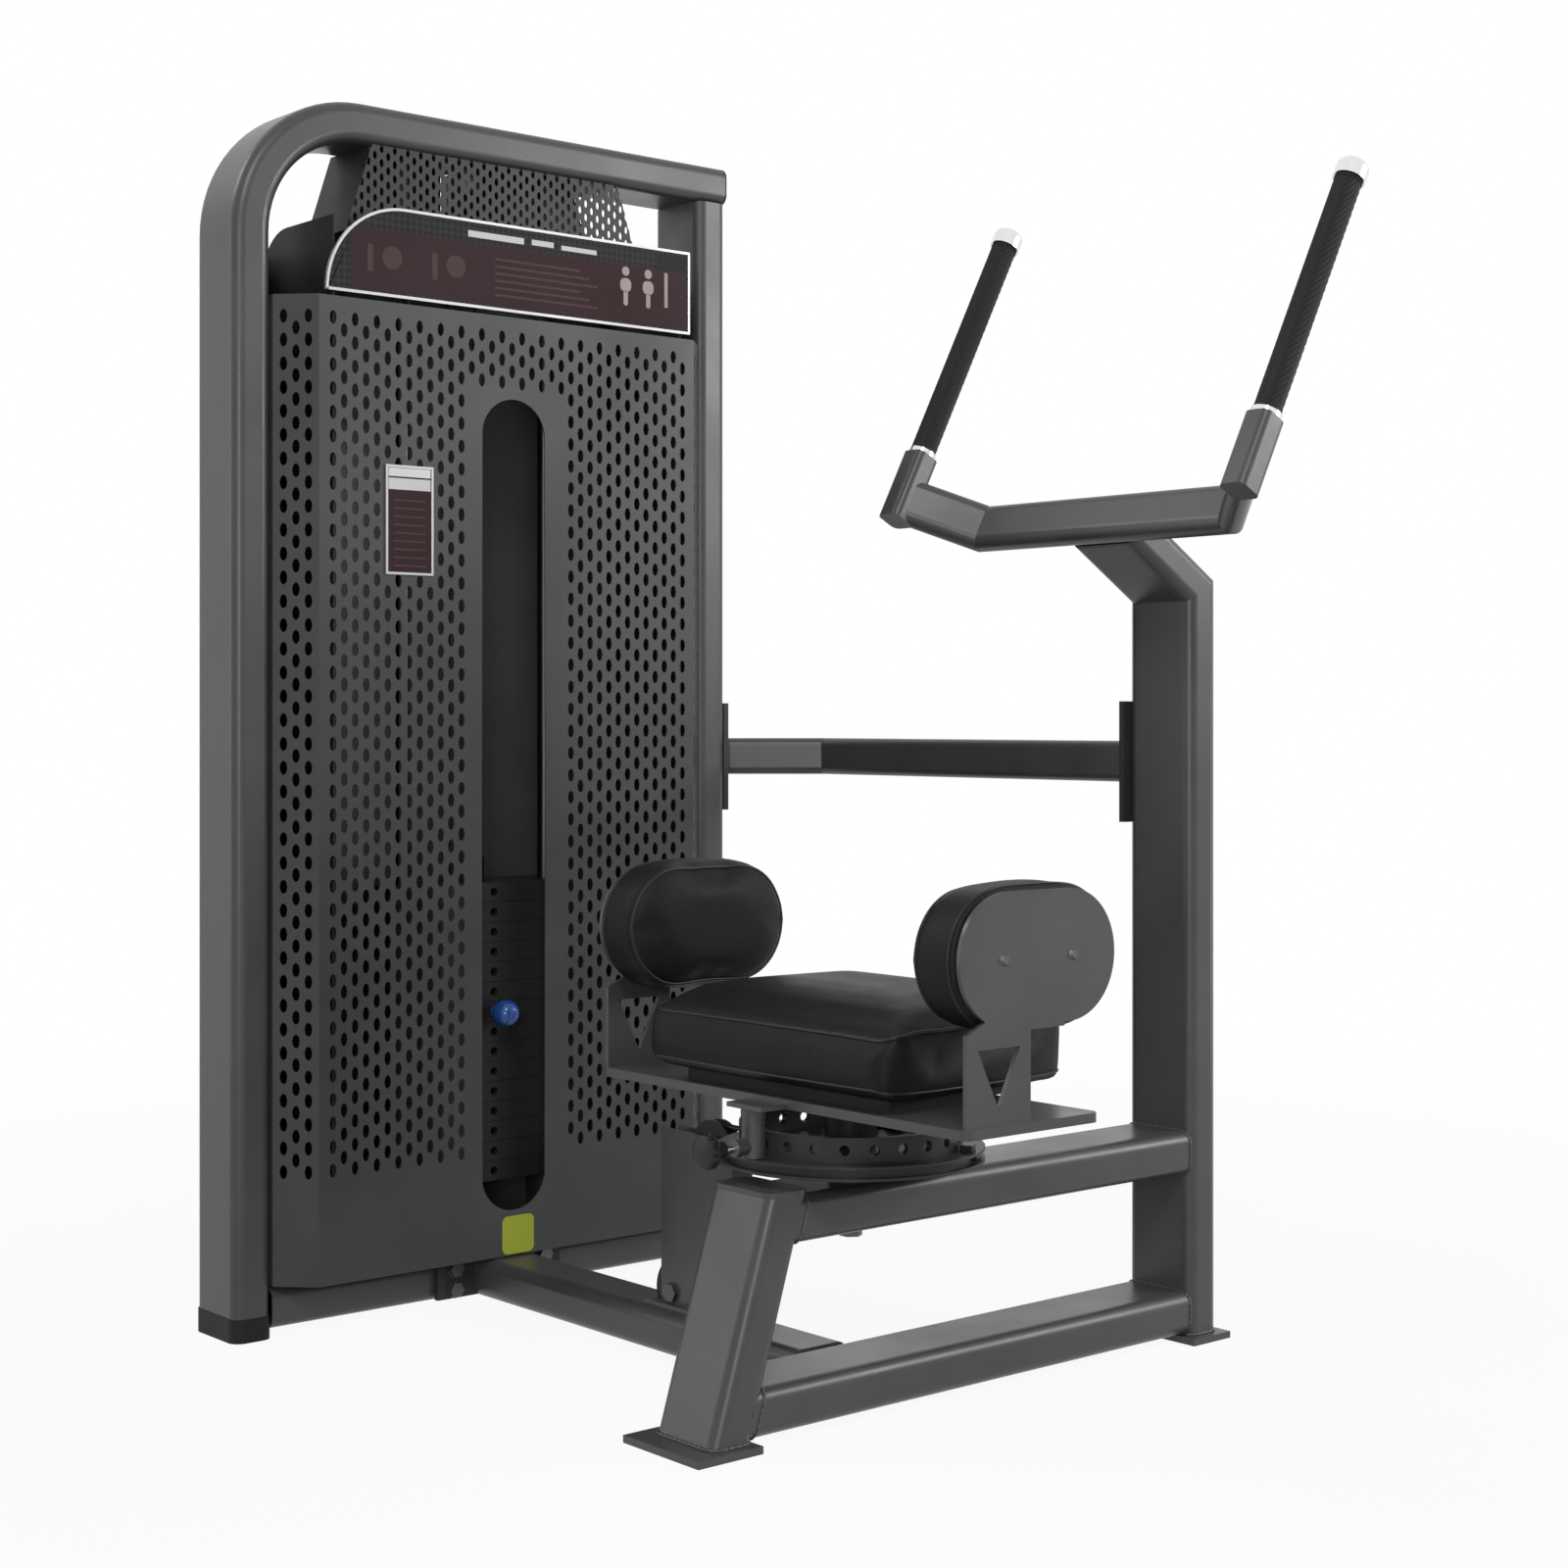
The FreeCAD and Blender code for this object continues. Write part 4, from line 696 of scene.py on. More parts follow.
header = punched_field(-HEADER_COLUMNS / 2 * PITCH_X, HEADER_COLUMNS, 0, HEADER_ROWS, 0)
header.scale = (FINE, 1, FINE)
header.location = spot(HEADER_MIDDLE, 0, HEADER_LOW)
place_in_mesh(header)
for side in (-1, 1):
    low = spot(HEADER_MIDDLE + side * HALF_LOW, 0, HEADER_LOW)
    run = spot(HEADER_MIDDLE + side * HALF_TOP, 0, HEADER_TOP) - low
    cut_off(header, low, Vector((run.z, 0, -run.x)) * side)
cut_off(header, spot(0, 0, HEADER_TOP), (0, 0, 1))
tidy_normals(header)
thicken(header, lambda c: Vector((0, -1, 0)))
# The dark grey paint on the punched front is painted shade from the top rail above it.
coat(header, dark_plate_and_painted_shade)
print("faces in the punched front:", len(header.data.polygons))

# %% Plain walls of the header
BOX_FRONT, BOX_BACK = SHEET + 0.1, 100.0
NOTCH_LEFT, NOTCH_RIGHT, NOTCH_FRONT = 349.0, 391.0, 39.5
LOW_LEFT, LOW_RIGHT = HEADER_MIDDLE - HALF_LOW, HEADER_MIDDLE + HALF_LOW
TOP_LEFT, TOP_RIGHT = HEADER_MIDDLE - HALF_TOP, HEADER_MIDDLE + HALF_TOP


def lean(wall, x, shift):
    """Moves the upper points of a wall sideways where they stand at one place across it."""
    goal = spot(x, 0, HEADER_TOP)
    open_at(wall, "VERT", lambda p: abs(p.x - goal.x) < MM and p.z > goal.z - MM)
    bpy.ops.transform.translate(value=(shift * MM, 0, 0))
    close_edit()


def back_wall(x0, x1, y):
    """A plain sheet that stands across the header at one depth."""
    wall = plain_sheet(x0, x1, HEADER_LOW, HEADER_TOP)
    wall.location = spot(0, y, 0)
    place_in_mesh(wall)
    return wall


def lid(x0, x1, y0, y1):
    """A plain sheet of the header's top."""
    clear_selection()
    bpy.ops.mesh.primitive_plane_add(size=1, location=spot((x0 + x1) / 2, (y0 + y1) / 2, HEADER_TOP))
    made = bpy.context.object
    made.scale = ((x1 - x0) * MM, (y1 - y0) * MM, 1)
    place_in_mesh(made)
    return made


def out_of_header(c):
    """Direction out of the header at a point of its plain walls."""
    if c.z > HEADER_TOP * MM - 0.0001:
        return Vector((0, 0, 1))
    at_back = c.y > spot(0, BOX_BACK, 0).y - 0.0001
    return Vector((0, 1, 0)) if at_back else Vector((-1, 0, 0))


side_sheet = plain_sheet(BOX_FRONT, BOX_BACK, HEADER_LOW, HEADER_TOP)
left_wall = turned(side_sheet, math.pi / 2, LOW_LEFT, 0)
back_left = back_wall(LOW_LEFT, NOTCH_LEFT, BOX_BACK)
back_right = back_wall(NOTCH_RIGHT, LOW_RIGHT, BOX_BACK)
lean(left_wall, LOW_LEFT, TOP_LEFT - LOW_LEFT)
lean(back_left, LOW_LEFT, TOP_LEFT - LOW_LEFT)
lean(back_right, LOW_RIGHT, TOP_RIGHT - LOW_RIGHT)
left_part, right_part = (TOP_LEFT, NOTCH_LEFT), (NOTCH_RIGHT, TOP_RIGHT)
tops = [lid(*ends, BOX_FRONT, NOTCH_FRONT)
        for ends in (left_part, (NOTCH_LEFT, NOTCH_RIGHT), right_part)]
tops += [lid(*ends, NOTCH_FRONT, BOX_BACK) for ends in (left_part, right_part)]
box_back = join([left_wall, back_left, back_right] + tops, "header_back")
tidy_normals(box_back)
thicken(box_back, out_of_header, SHEET * MM)
# The near-black paint on the header's side, back and top is painted shade.
coat(box_back, inside_black_and_painted_shade)
print("faces in the plain walls:", len(box_back.data.polygons))
header = join([header, box_back], "header_box")
hand_over(header, "frame", "charcoal_frame", "header_panel")

# %% [markdown]
# ## Boards
# The instruction board is a flat panel with one large round corner, a raised silver rim and a dark
# red face. Its print is plain bars and simple shapes. The panel is a plane whose corner is
# bevelled, thickened, inset for the rim and pressed in a little, and each printed patch is a thin
# tile on it.


# %% Panels and printed patches
def panel(name, x0, x1, z0, z1, front, thick, rim, corner=0.0):
    """A flat panel with a raised rim whose front lies at one depth. corner rounds its upper left."""
    slab = plain_sheet(x0, x1, z0, z1)
    slab.name = name
    slab.location = spot(0, front, 0)
    place_in_mesh(slab)
    if corner:
        open_at(slab, "VERT", lambda p: p.x < spot(x0 + 1, 0, 0).x and p.z > z1 * MM - 0.001)
        bpy.ops.mesh.bevel(offset=corner * MM, segments=20, affect="VERTICES")
        close_edit()
    thicken(slab, lambda c: Vector((0, -1, 0)), thick * MM)
    face_y = spot(0, front, 0).y
    open_at(slab, "FACE", lambda c, n: n.y < -0.9 and abs(c.y - face_y) < 0.0002)
    bpy.ops.mesh.inset(thickness=rim * MM, depth=0)
    bpy.ops.mesh.extrude_region_move(TRANSFORM_OT_translate={"value": (0, 0.0008, 0)})
    close_edit()
    return slab


def patch(x0, x1, z0, z1, face, material, rounding=0.0):
    """A thin printed tile on a panel's face, in millimetres, with its corners rounded if asked."""
    tile = plain_sheet(x0, x1, z0, z1)
    tile.location = spot(0, face - 0.25, 0)
    place_in_mesh(tile)
    if rounding:
        open_at(tile, "VERT", lambda p: True)
        bpy.ops.mesh.bevel(offset=rounding * MM, segments=6, affect="VERTICES")
        close_edit()
    thicken(tile, lambda c: Vector((0, -1, 0)), 0.00035)
    coat(tile, material)
    return tile


def two_tone(slab, rim_material, face_material, face):
    """Gives a panel's pressed-in face one finish and the rest another."""
    coat(slab, rim_material, face_material)
    face_y = spot(0, face, 0).y
    for polygon in slab.data.polygons:
        pressed = polygon.normal.y < -0.9 and abs(polygon.center.y - face_y) < 0.0002
        polygon.material_index = 1 if pressed else 0


# %% Instruction board
BOARD_LEFT, BOARD_RIGHT = 98.0, 652.0
BOARD_LOW, BOARD_TOP = 1256.0, 1366.0
BOARD_FRONT, BOARD_THICK = -42.6, 4.6
RIM, CORNER, PRESSED = 3.4, 109.8, 0.8
BOARD_FACE = BOARD_FRONT + PRESSED
UPPER_FACE = BOARD_FACE - 0.2

board = panel("board", BOARD_LEFT, BOARD_RIGHT, BOARD_LOW, BOARD_TOP, BOARD_FRONT, BOARD_THICK, RIM,
              corner=CORNER)
two_tone(board, silver_print, diamond_print, BOARD_FACE)
prints = [patch(132, 646, 1262, 1337, BOARD_FACE, maroon_print),
          patch(646 - 48, 646, 1337.2, 1358, BOARD_FACE, black_print),
          patch(300, 384, 1344, 1352, BOARD_FACE, white_print),
          patch(396, 430, 1345, 1352, BOARD_FACE, white_print),
          patch(442, 498, 1344, 1350, BOARD_FACE, white_print),
          patch(609, 614.5, 1288, 1334, UPPER_FACE, pale_print)]
for x in (545.0, 582.0):
    prints.append(patch(x - 6, x + 6, 1323, 1335, UPPER_FACE, pale_print, 5.8))
    prints.append(patch(x - 9, x + 9, 1302, 1320, UPPER_FACE, pale_print, 7.5))
    prints.append(patch(x - 3.5, x + 3.5, 1284, 1303, UPPER_FACE, pale_print, 3.0))
for x in (160.0, 252.0):
    prints.append(patch(x - 5, x + 3, 1284, 1318, UPPER_FACE, faint_print, 3.0))
    prints.append(patch(x + 16, x + 44, 1290, 1318, UPPER_FACE, faint_print, 13.5))
for row in range(6):
    low = 1274 + 9 * row
    prints.append(patch(340, 500 - 14 * (row % 3), low, low + 3, UPPER_FACE, faint_print))
board = join([board] + prints, "instruction_panel")
hand_over(board, "frame", "printed_board", "instruction_board")

# %% Label plate
LABEL_LEFT, LABEL_RIGHT = 181.0, 249.0
LABEL_LOW, LABEL_TOP = 918.0, 1052.0
LABEL_FRONT = -42.4
LABEL_FACE = LABEL_FRONT + PRESSED

label = panel("label", LABEL_LEFT, LABEL_RIGHT, LABEL_LOW, LABEL_TOP, LABEL_FRONT, 2.3, 3.0)
two_tone(label, silver_print, maroon_print, LABEL_FACE)
prints = [patch(LABEL_LEFT + 4, LABEL_RIGHT - 4, 1022, 1036, LABEL_FACE, white_print),
          patch(LABEL_LEFT + 4, LABEL_RIGHT - 4, 1038, 1048.5, LABEL_FACE, silver_print)]
for row in range(9):
    low = 928 + 10 * row
    prints.append(patch(LABEL_LEFT + 11, LABEL_RIGHT - 11, low, low + 2, LABEL_FACE, faint_print))
label = join([label] + prints, "label_panel")
hand_over(label, "frame", "printed_board", "label_plate")

# %% [markdown]
# ## Upholstery
# The seat and the hip pads are foam under black vinyl. A carved block would have dead flat sides,
# and real foam pushes its skin out between the seams. So each pad starts a little small as a
# bevelled block, is remeshed to even squares, and is blown up for a few frames as cloth under
# pressure, with its hard back pinned. No point may move more than a set distance, which keeps the
# pad in its place, and a last smoothing takes out what small wrinkles the cloth made. The piping is
# laid round afterwards, because a remesh would melt it away.


# %% Blow up a pad
def blow_up(pad, pinned, limit, pressure, voxel=0.005):
    """Remeshes a pad, swells it as cloth under pressure and smooths it. Pinned points stay put."""
    add_modifier(pad, "REMESH", mode="VOXEL", voxel_size=voxel)
    start = [point.co.copy() for point in pad.data.vertices]
    held = pad.vertex_groups.new(name="held")
    held.add([i for i, co in enumerate(start) if pinned(co)], 1.0, "REPLACE")
    cloth = pad.modifiers.new("cloth", "CLOTH")
    cloth.settings.use_pressure = True
    cloth.settings.uniform_pressure_force = pressure
    cloth.settings.effector_weights.gravity = 0
    cloth.settings.vertex_group_mass = "held"
    cloth.settings.quality = 4
    cloth.settings.mass = 0.3
    for step in range(1, 21):
        scene.frame_set(step)
    shaped = pad.evaluated_get(bpy.context.evaluated_depsgraph_get())
    moved = [point.co.copy() for point in shaped.data.vertices]
    pad.modifiers.remove(cloth)
    scene.frame_set(1)
    most = 0.0
    for point, old, new in zip(pad.data.vertices, start, moved):
        step = new - old
        if step.length > limit:
            step = step * (limit / step.length)
        most = max(most, step.length)
        point.co = old + step
    pad.vertex_groups.clear()
    print(pad.name, "swelled by up to", round(most * 1000, 1), "mm")
    add_modifier(pad, "SMOOTH", factor=0.5, iterations=12)
    add_modifier(pad, "SUBSURF", levels=1, render_levels=1)
    smooth(pad, 60)


def piping(name, points, thick, material, ripple=1.0):
    """A closed round cord through points, made a mesh. ripple thins every second point."""
    curve = bpy.data.curves.new(name, "CURVE")
    curve.dimensions = "3D"
    line = curve.splines.new("NURBS")
    line.points.add(len(points) - 1)
    for k, (knot, point) in enumerate(zip(line.points, points)):
        knot.co = (*point, 1)
        knot.radius = ripple if k % 2 else 1.0
    line.use_cyclic_u = True
    line.order_u = 3
    curve.bevel_depth = thick / 2
    curve.bevel_resolution = 3
    curve.resolution_u = 3
    cord = bpy.data.objects.new(name, curve)
    scene.collection.objects.link(cord)
    pick(cord)
    bpy.ops.object.convert(target="MESH")
    cord = bpy.context.object
    coat(cord, material)
    smooth(cord, 60)
    return cord


def on_skin(pad, points, out=0.0):
    """The nearest places on a pad's skin to a row of points, moved out of it a little."""
    found = []
    for point in points:
        place, normal = pad.closest_point_on_mesh(point)[1:3]
        found.append(place + normal * out)
    return found


def rounded_loop(corners, step=0.018):
    """Points along a closed outline. Each corner is a centre, a radius and its start in degrees."""
    points = []
    for x, y, radius, start in corners:
        turns = [math.radians(start + 15 * i) for i in range(7)]
        arc = [(x + radius * math.cos(t), y + radius * math.sin(t)) for t in turns]
        if points:
            points += between(points[-1], arc[0], step)
        points += arc
    return points + between(points[-1], points[0], step)


def between(a, b, step):
    """Evenly spaced points between two places, without the ends."""
    count = max(round(math.dist(a, b) * MM / step), 1)
    return [(a[0] + (b[0] - a[0]) * i / count, a[1] + (b[1] - a[1]) * i / count)
            for i in range(1, count)]


# %% [markdown]
# The seat is a thick block with a nearly upright edge, wider and rounder at its back than in front,
# under a low crown. A cube is scaled to the block, its front points are drawn in, and its upright
# edges are bevelled. For the crown the top face is extruded in five small lifts and scaled about
# the seat's middle, which keeps the round corners in proportion.

# %% Seat cushion
SEAT_BACK, SEAT_FRONT = 232.0, 530.0
SEAT_HALF_BACK, SEAT_HALF_FRONT = 204.0, 182.0
SEAT_BASE, SEAT_EDGE = 360.6, 429.0
SWELL, MOST_SWELL, PRESSURE = 4.0, 0.005, 3.0
REAR_ROUND, FRONT_ROUND = 0.031, 0.026
CROWN = ((0.975, 0.982, 0.003), (0.93, 0.95, 0.004), (0.88, 0.86, 0.009), (0.72, 0.76, 0.008),
         (0.5, 0.6, 0.004))

clear_selection()
seat_middle = spot((SEAT_BACK + SEAT_FRONT) / 2, SEAT_Y, (SEAT_BASE + SEAT_EDGE) / 2)
bpy.ops.mesh.primitive_cube_add(size=1, location=seat_middle)
seat = bpy.context.object
seat.name = "seat_cushion"
seat.scale = ((SEAT_FRONT - SEAT_BACK - 2 * SWELL) * MM, 2 * (SEAT_HALF_BACK - SWELL) * MM,
              (SEAT_EDGE - SEAT_BASE) * MM)
place_in_mesh(seat)
open_at(seat, "VERT", lambda p: p.x > seat_middle.x)
bpy.ops.transform.resize(value=(1, SEAT_HALF_FRONT / SEAT_HALF_BACK, 1), center_override=seat_middle)
for rear, rounding in ((True, REAR_ROUND), (False, FRONT_ROUND)):
    select_where(seat, "EDGE",
                 lambda a, b: abs(a.z - b.z) > 0.02 and (a.x < seat_middle.x) == rear)
    bpy.ops.mesh.bevel(offset=rounding, segments=9, affect="EDGES")
select_where(seat, "FACE", lambda c, n: n.z < -0.9)
bpy.ops.transform.resize(value=(0.972, 0.978, 1), center_override=seat_middle)
lip_z = SEAT_EDGE * MM
for scale_x, scale_y, lift in CROWN:
    select_where(seat, "FACE", lambda c, n: n.z > 0.9 and c.z > lip_z - 0.0002)
    bpy.ops.mesh.extrude_region_move(TRANSFORM_OT_translate={"value": (0, 0, lift)})
    bpy.ops.transform.resize(value=(scale_x, scale_y, 1), center_override=seat_middle)
    lip_z += lift
close_edit()
tidy_normals(seat)
blow_up(seat, lambda p: p.z < (SEAT_BASE + 3) * MM, MOST_SWELL, PRESSURE)
coat(seat, vinyl)

# %% Seat piping
corners = [(SEAT_FRONT - 33, SEAT_Y + SEAT_HALF_FRONT - 32, 26, 0),
           (SEAT_BACK + 36, SEAT_Y + SEAT_HALF_BACK - 37, 31, 90),
           (SEAT_BACK + 36, SEAT_Y - SEAT_HALF_BACK + 37, 31, 180),
           (SEAT_FRONT - 33, SEAT_Y - SEAT_HALF_FRONT + 32, 26, 270)]
edge_line = [spot(x, y, SEAT_EDGE + 6) for x, y in rounded_loop(corners)]
seat_cord = piping("seat_cord", on_skin(seat, edge_line, 0.0004), 0.004, piping_vinyl)
base_line = [spot(x, y, SEAT_BASE + 9) for x, y in rounded_loop(corners)]
base_cord = piping("seat_base_cord", on_skin(seat, base_line, 0.0002), 0.003, piping_vinyl)
seat_cords = join([seat_cord, base_cord], "seat_piping")
hand_over(seat, "seat", "black_vinyl", "seat_pad")
hand_over(seat_cords, "seat", "black_vinyl")

# %% [markdown]
# The hip pads are round-ended blocks on steel plates. Each starts as a cylinder whose halves are
# pulled apart, its inner face is inset and lifted for the crown, and the edge between face and side
# is bevelled.

# %% Hip cushions
PAD_X, PAD_Z = 358.0, 508.0
PAD_LONG, PAD_HIGH = 236.0, 150.0
PAD_REACH, PAD_PLATE, PAD_SOFT = 290.0, 5.0, 71.0


def hip_cushion(side, name):
    """One hip pad. side is 1 on the machine's left and -1 on its right."""
    outer = SEAT_Y + side * (PAD_REACH - PAD_PLATE - 0.6)
    inner = outer - side * (0.72 * PAD_SOFT - 2)
    long, high = PAD_LONG - 2 * SWELL, PAD_HIGH - 2 * SWELL
    clear_selection()
    bpy.ops.mesh.primitive_cylinder_add(vertices=48, radius=high / 2 * MM,
                                        depth=abs(outer - inner) * MM, rotation=(math.pi / 2, 0, 0),
                                        location=spot(PAD_X, (outer + inner) / 2, PAD_Z))
    pad = bpy.context.object
    pad.name = name
    place_in_mesh(pad)
    centre = spot(PAD_X, inner, PAD_Z)
    edit(pad, "VERT")
    for half in (-1, 1):
        select_where(pad, "VERT", lambda p: (p.x - centre.x) * half > 0.0005)
        bpy.ops.transform.translate(value=(half * (long - high) / 2 * MM, 0, 0))
    facing = -side
    edge = centre.y
    for inset, lift in ((0.004, 0.009), (0.009, 0.0055), (0.014, 0.0025)):
        select_where(pad, "FACE", lambda c, n: n.y * facing > 0.9 and abs(c.y - edge) < 0.0004)
        bpy.ops.mesh.inset(thickness=inset, depth=0)
        bpy.ops.transform.translate(value=(0, facing * lift, 0))
        edge += facing * lift
    close_edit()
    tidy_normals(pad)
    back = spot(0, outer, 0).y
    blow_up(pad, lambda p: abs(p.y - back) < 0.004, MOST_SWELL, PRESSURE)
    coat(pad, vinyl)
    return pad


def pad_piping(pad, side):
    """Cords round the pad's face and round its back edge."""
    reach = (PAD_LONG - PAD_HIGH) / 2
    cords = []
    for depth, inset, thick in ((0.86 * PAD_SOFT, 3.0, 0.0038), (7.0, -1.0, 0.003)):
        radius = PAD_HIGH / 2 - inset
        ends = [(PAD_X + reach, PAD_Z, radius, -90), (PAD_X + reach, PAD_Z, radius, 0),
                (PAD_X - reach, PAD_Z, radius, 90), (PAD_X - reach, PAD_Z, radius, 180)]
        y = SEAT_Y + side * (PAD_REACH - PAD_PLATE - depth)
        line = [spot(x, y, z) for x, z in rounded_loop(ends)]
        cords.append(piping("cord", on_skin(pad, line, 0.0003), thick, piping_vinyl))
    return join(cords, pad.name.replace("cushion", "piping"))


for side, name, node in ((1, "left_hip_cushion", "left_hip_pad"),
                         (-1, "right_hip_cushion", "right_hip_pad")):
    pad = hip_cushion(side, name)
    cords = pad_piping(pad, side)
    hand_over(pad, "seat", "black_vinyl", node)
    hand_over(cords, "seat", "black_vinyl")

# %% [markdown]
# ## Grips and knobs
# The hand grips are rubber sleeves hatched with small diamonds. One short band of the sleeve is
# modelled: three rings of points, with every second point raised, and the raised ones staggered
# from ring to ring. An array repeats the band up the handle, the ends are closed, and a smooth
# collar goes on each end. The finished sleeve is tilted onto its handle.

# %% Hatched sleeves
HANDLE_LEAN = math.radians(28)
BAR_X, BAR_Z = 770.0, 976.0
HANDLE_SPREAD, ARM_RUN = 270.0, 78.0
SOCKET_RISE, RING_HIGH, GRIP_LONG = 63.0, 6.0, 309.0
SIDES, BANDS = 36, 31
SLEEVE_RADIUS, COLLAR_RADIUS, COLLAR_THICK = 0.0149, 0.0144, 0.0022


def hatched_sleeve():
    """A grip that stands on the origin."""
    step = GRIP_LONG * MM / BANDS
    clear_selection()
    bpy.ops.mesh.primitive_circle_add(vertices=SIDES, radius=SLEEVE_RADIUS)
    sleeve = bpy.context.object
    edit(sleeve, "EDGE")
    bpy.ops.mesh.select_all(action="SELECT")
    for lift in (step / 2, step / 2):
        bpy.ops.mesh.extrude_edges_move(TRANSFORM_OT_translate={"value": (0, 0, lift)})

    def raised(p):
        place = round(math.atan2(p.y, p.x) / (2 * math.pi / SIDES))
        return (place + round(p.z / (step / 2))) % 2 == 0

    select_where(sleeve, "VERT", raised)
    bpy.ops.transform.resize(value=(1.07, 1.07, 1), center_override=(0, 0, 0))
    close_edit()
    repeat(sleeve, BANDS, (0, 0, step), use_merge_vertices=True, merge_threshold=0.00002)
    top = GRIP_LONG * MM
    for end in (0.0, top):
        open_at(sleeve, "EDGE", lambda a, b: abs(a.z - end) < 0.00005 and abs(b.z - end) < 0.00005)
        bpy.ops.mesh.edge_face_add()
        close_edit()
    tidy_normals(sleeve)
    collars = []
    for z in (COLLAR_THICK, top - COLLAR_THICK):
        bpy.ops.mesh.primitive_torus_add(major_segments=40, minor_segments=10, major_radius=COLLAR_RADIUS,
                                         minor_radius=COLLAR_THICK, location=(0, 0, z))
        collar = bpy.context.object
        place_in_mesh(collar)
        smooth(collar, 60)
        collars.append(collar)
    sleeve = join([sleeve] + collars, "grip_sleeve")
    coat(sleeve, rubber)
    return sleeve


def handle_foot(side):
    """Where a grip starts on its handle, in metres."""
    along = Vector((math.sin(HANDLE_LEAN), 0, math.cos(HANDLE_LEAN)))
    out = Vector((-math.cos(HANDLE_LEAN), 0, math.sin(HANDLE_LEAN)))
    bar_end = spot(BAR_X, SEAT_Y + side * HANDLE_SPREAD, BAR_Z) + out * (ARM_RUN * MM)
    return bar_end + along * ((SOCKET_RISE + RING_HIGH) * MM)


first = hatched_sleeve()
sleeves = [first, copy_of(first)]
for sleeve, side in zip(sleeves, (-1, 1)):
    sleeve.rotation_euler = (0, HANDLE_LEAN, 0)
    sleeve.location = handle_foot(side)
    place_in_mesh(sleeve)
sleeves = join(sleeves, "hatched_grips")
hand_over(sleeves, "frame", "black_rubber", "grips")

# %% [markdown]
# The pull knob of the index pin is a moulded plastic cap with finger flutes on a flared neck. It
# starts as a cylinder for the cap, whose inner face is extruded and scaled for the flare and the
# neck, and every third side face is pressed in.

# %% Pull knob
KNOB_X, KNOB_Z = 193.6, 299.0
KNOB_RADIUS, KNOB_STEP = 18.0, 26.0 / 3

clear_selection()
bpy.ops.mesh.primitive_cylinder_add(vertices=36, radius=KNOB_RADIUS * MM, depth=KNOB_STEP * MM,
                                    rotation=(0, math.pi / 2, 0),
                                    location=spot(KNOB_X - 2.5 * KNOB_STEP, SEAT_Y, KNOB_Z))
knob = bpy.context.object
place_in_mesh(knob)
axis_point = spot(KNOB_X, SEAT_Y, KNOB_Z)
edge_x = spot(KNOB_X - 2 * KNOB_STEP, 0, 0).x
open_at(knob, "FACE", lambda c, n: n.x > 0.9)
for share in (0.5, 1.0):
    bpy.ops.mesh.extrude_region_move(TRANSFORM_OT_translate={"value": (KNOB_STEP * MM, 0, 0)})
    bpy.ops.transform.resize(value=(1, share, share), center_override=axis_point)


def is_flute(c, n):
    """True for every third side face of the cap."""
    place = math.degrees(math.atan2(c.z - axis_point.z, c.y - axis_point.y)) - 5
    return abs(n.x) < 0.1 and c.x < edge_x - 0.002 and round(place / 10) % 3 == 0


select_where(knob, "FACE", is_flute)
bpy.ops.mesh.inset(thickness=0.0006, depth=0, use_individual=True)
bpy.ops.transform.resize(value=(1, 0.93, 0.93), center_override=axis_point)
select_where(knob, "FACE", lambda c, n: n.x < -0.9)
bpy.ops.mesh.inset(thickness=0.003, depth=0)
bpy.ops.transform.translate(value=(-0.001, 0, 0))
close_edit()
tidy_normals(knob)
add_modifier(knob, "BEVEL", width=0.0006, segments=2, limit_method="ANGLE")
smooth(knob, 40)
knob.name = "pull_knob"
coat(knob, plastic)
hand_over(knob, "index_pin_body", "black_plastic", "index_knob")

# %% [markdown]
# The selector's blue knob is a ball with a flattened front and a short neck against the plates. A
# sphere's front points are pressed flat and its back pole is drawn out into the neck.

# %% Selector knob
BALL_Y, BALL_Z, BALL_RADIUS = -22.0, 366.5, 17.5

clear_selection()
ball_middle = spot(CENTRE_X, BALL_Y, BALL_Z)
bpy.ops.mesh.primitive_uv_sphere_add(segments=40, ring_count=20, radius=BALL_RADIUS * MM,
                                     rotation=(math.pi / 2, 0, 0), location=ball_middle)
ball = bpy.context.object
ball.name = "selector_ball"
place_in_mesh(ball)
front_y = ball_middle.y - 0.93 * BALL_RADIUS * MM
open_at(ball, "VERT", lambda p: p.y < front_y)
bpy.ops.transform.resize(value=(1, 0.2, 1), center_override=(ball_middle.x, front_y, ball_middle.z))
select_where(ball, "FACE", lambda c, n: (c - ball_middle).y > 0.86 * BALL_RADIUS * MM)
bpy.ops.mesh.extrude_region_move(TRANSFORM_OT_translate={"value": (0, 0.006, 0)})
back_y = ball_middle.y + (BALL_RADIUS + 6) * MM
bpy.ops.transform.resize(value=(1, 0, 1), center_override=(ball_middle.x, back_y, ball_middle.z))
close_edit()
tidy_normals(ball)
smooth(ball, 50)
coat(ball, blue_plastic)
hand_over(ball, "selector", "blue_knob", "selector_knob")

# %% [markdown]
# ## The cable's straight end
# The cable hangs straight from the top pulley to the stem of the stack, and this end grows shorter
# as the stack rises. One long rod on the stack would come out through the top rail. So the end is
# made in two: a lower length that rises with the stack, and a slightly thinner upper length at the
# pulley, which the lower one slides over.

# %% Straight end of the cable
STACK_Y, STEM_TOP, PULLEY_Z = 50.0, 562.5, 1395.0
STACK_TRAVEL = 181.1


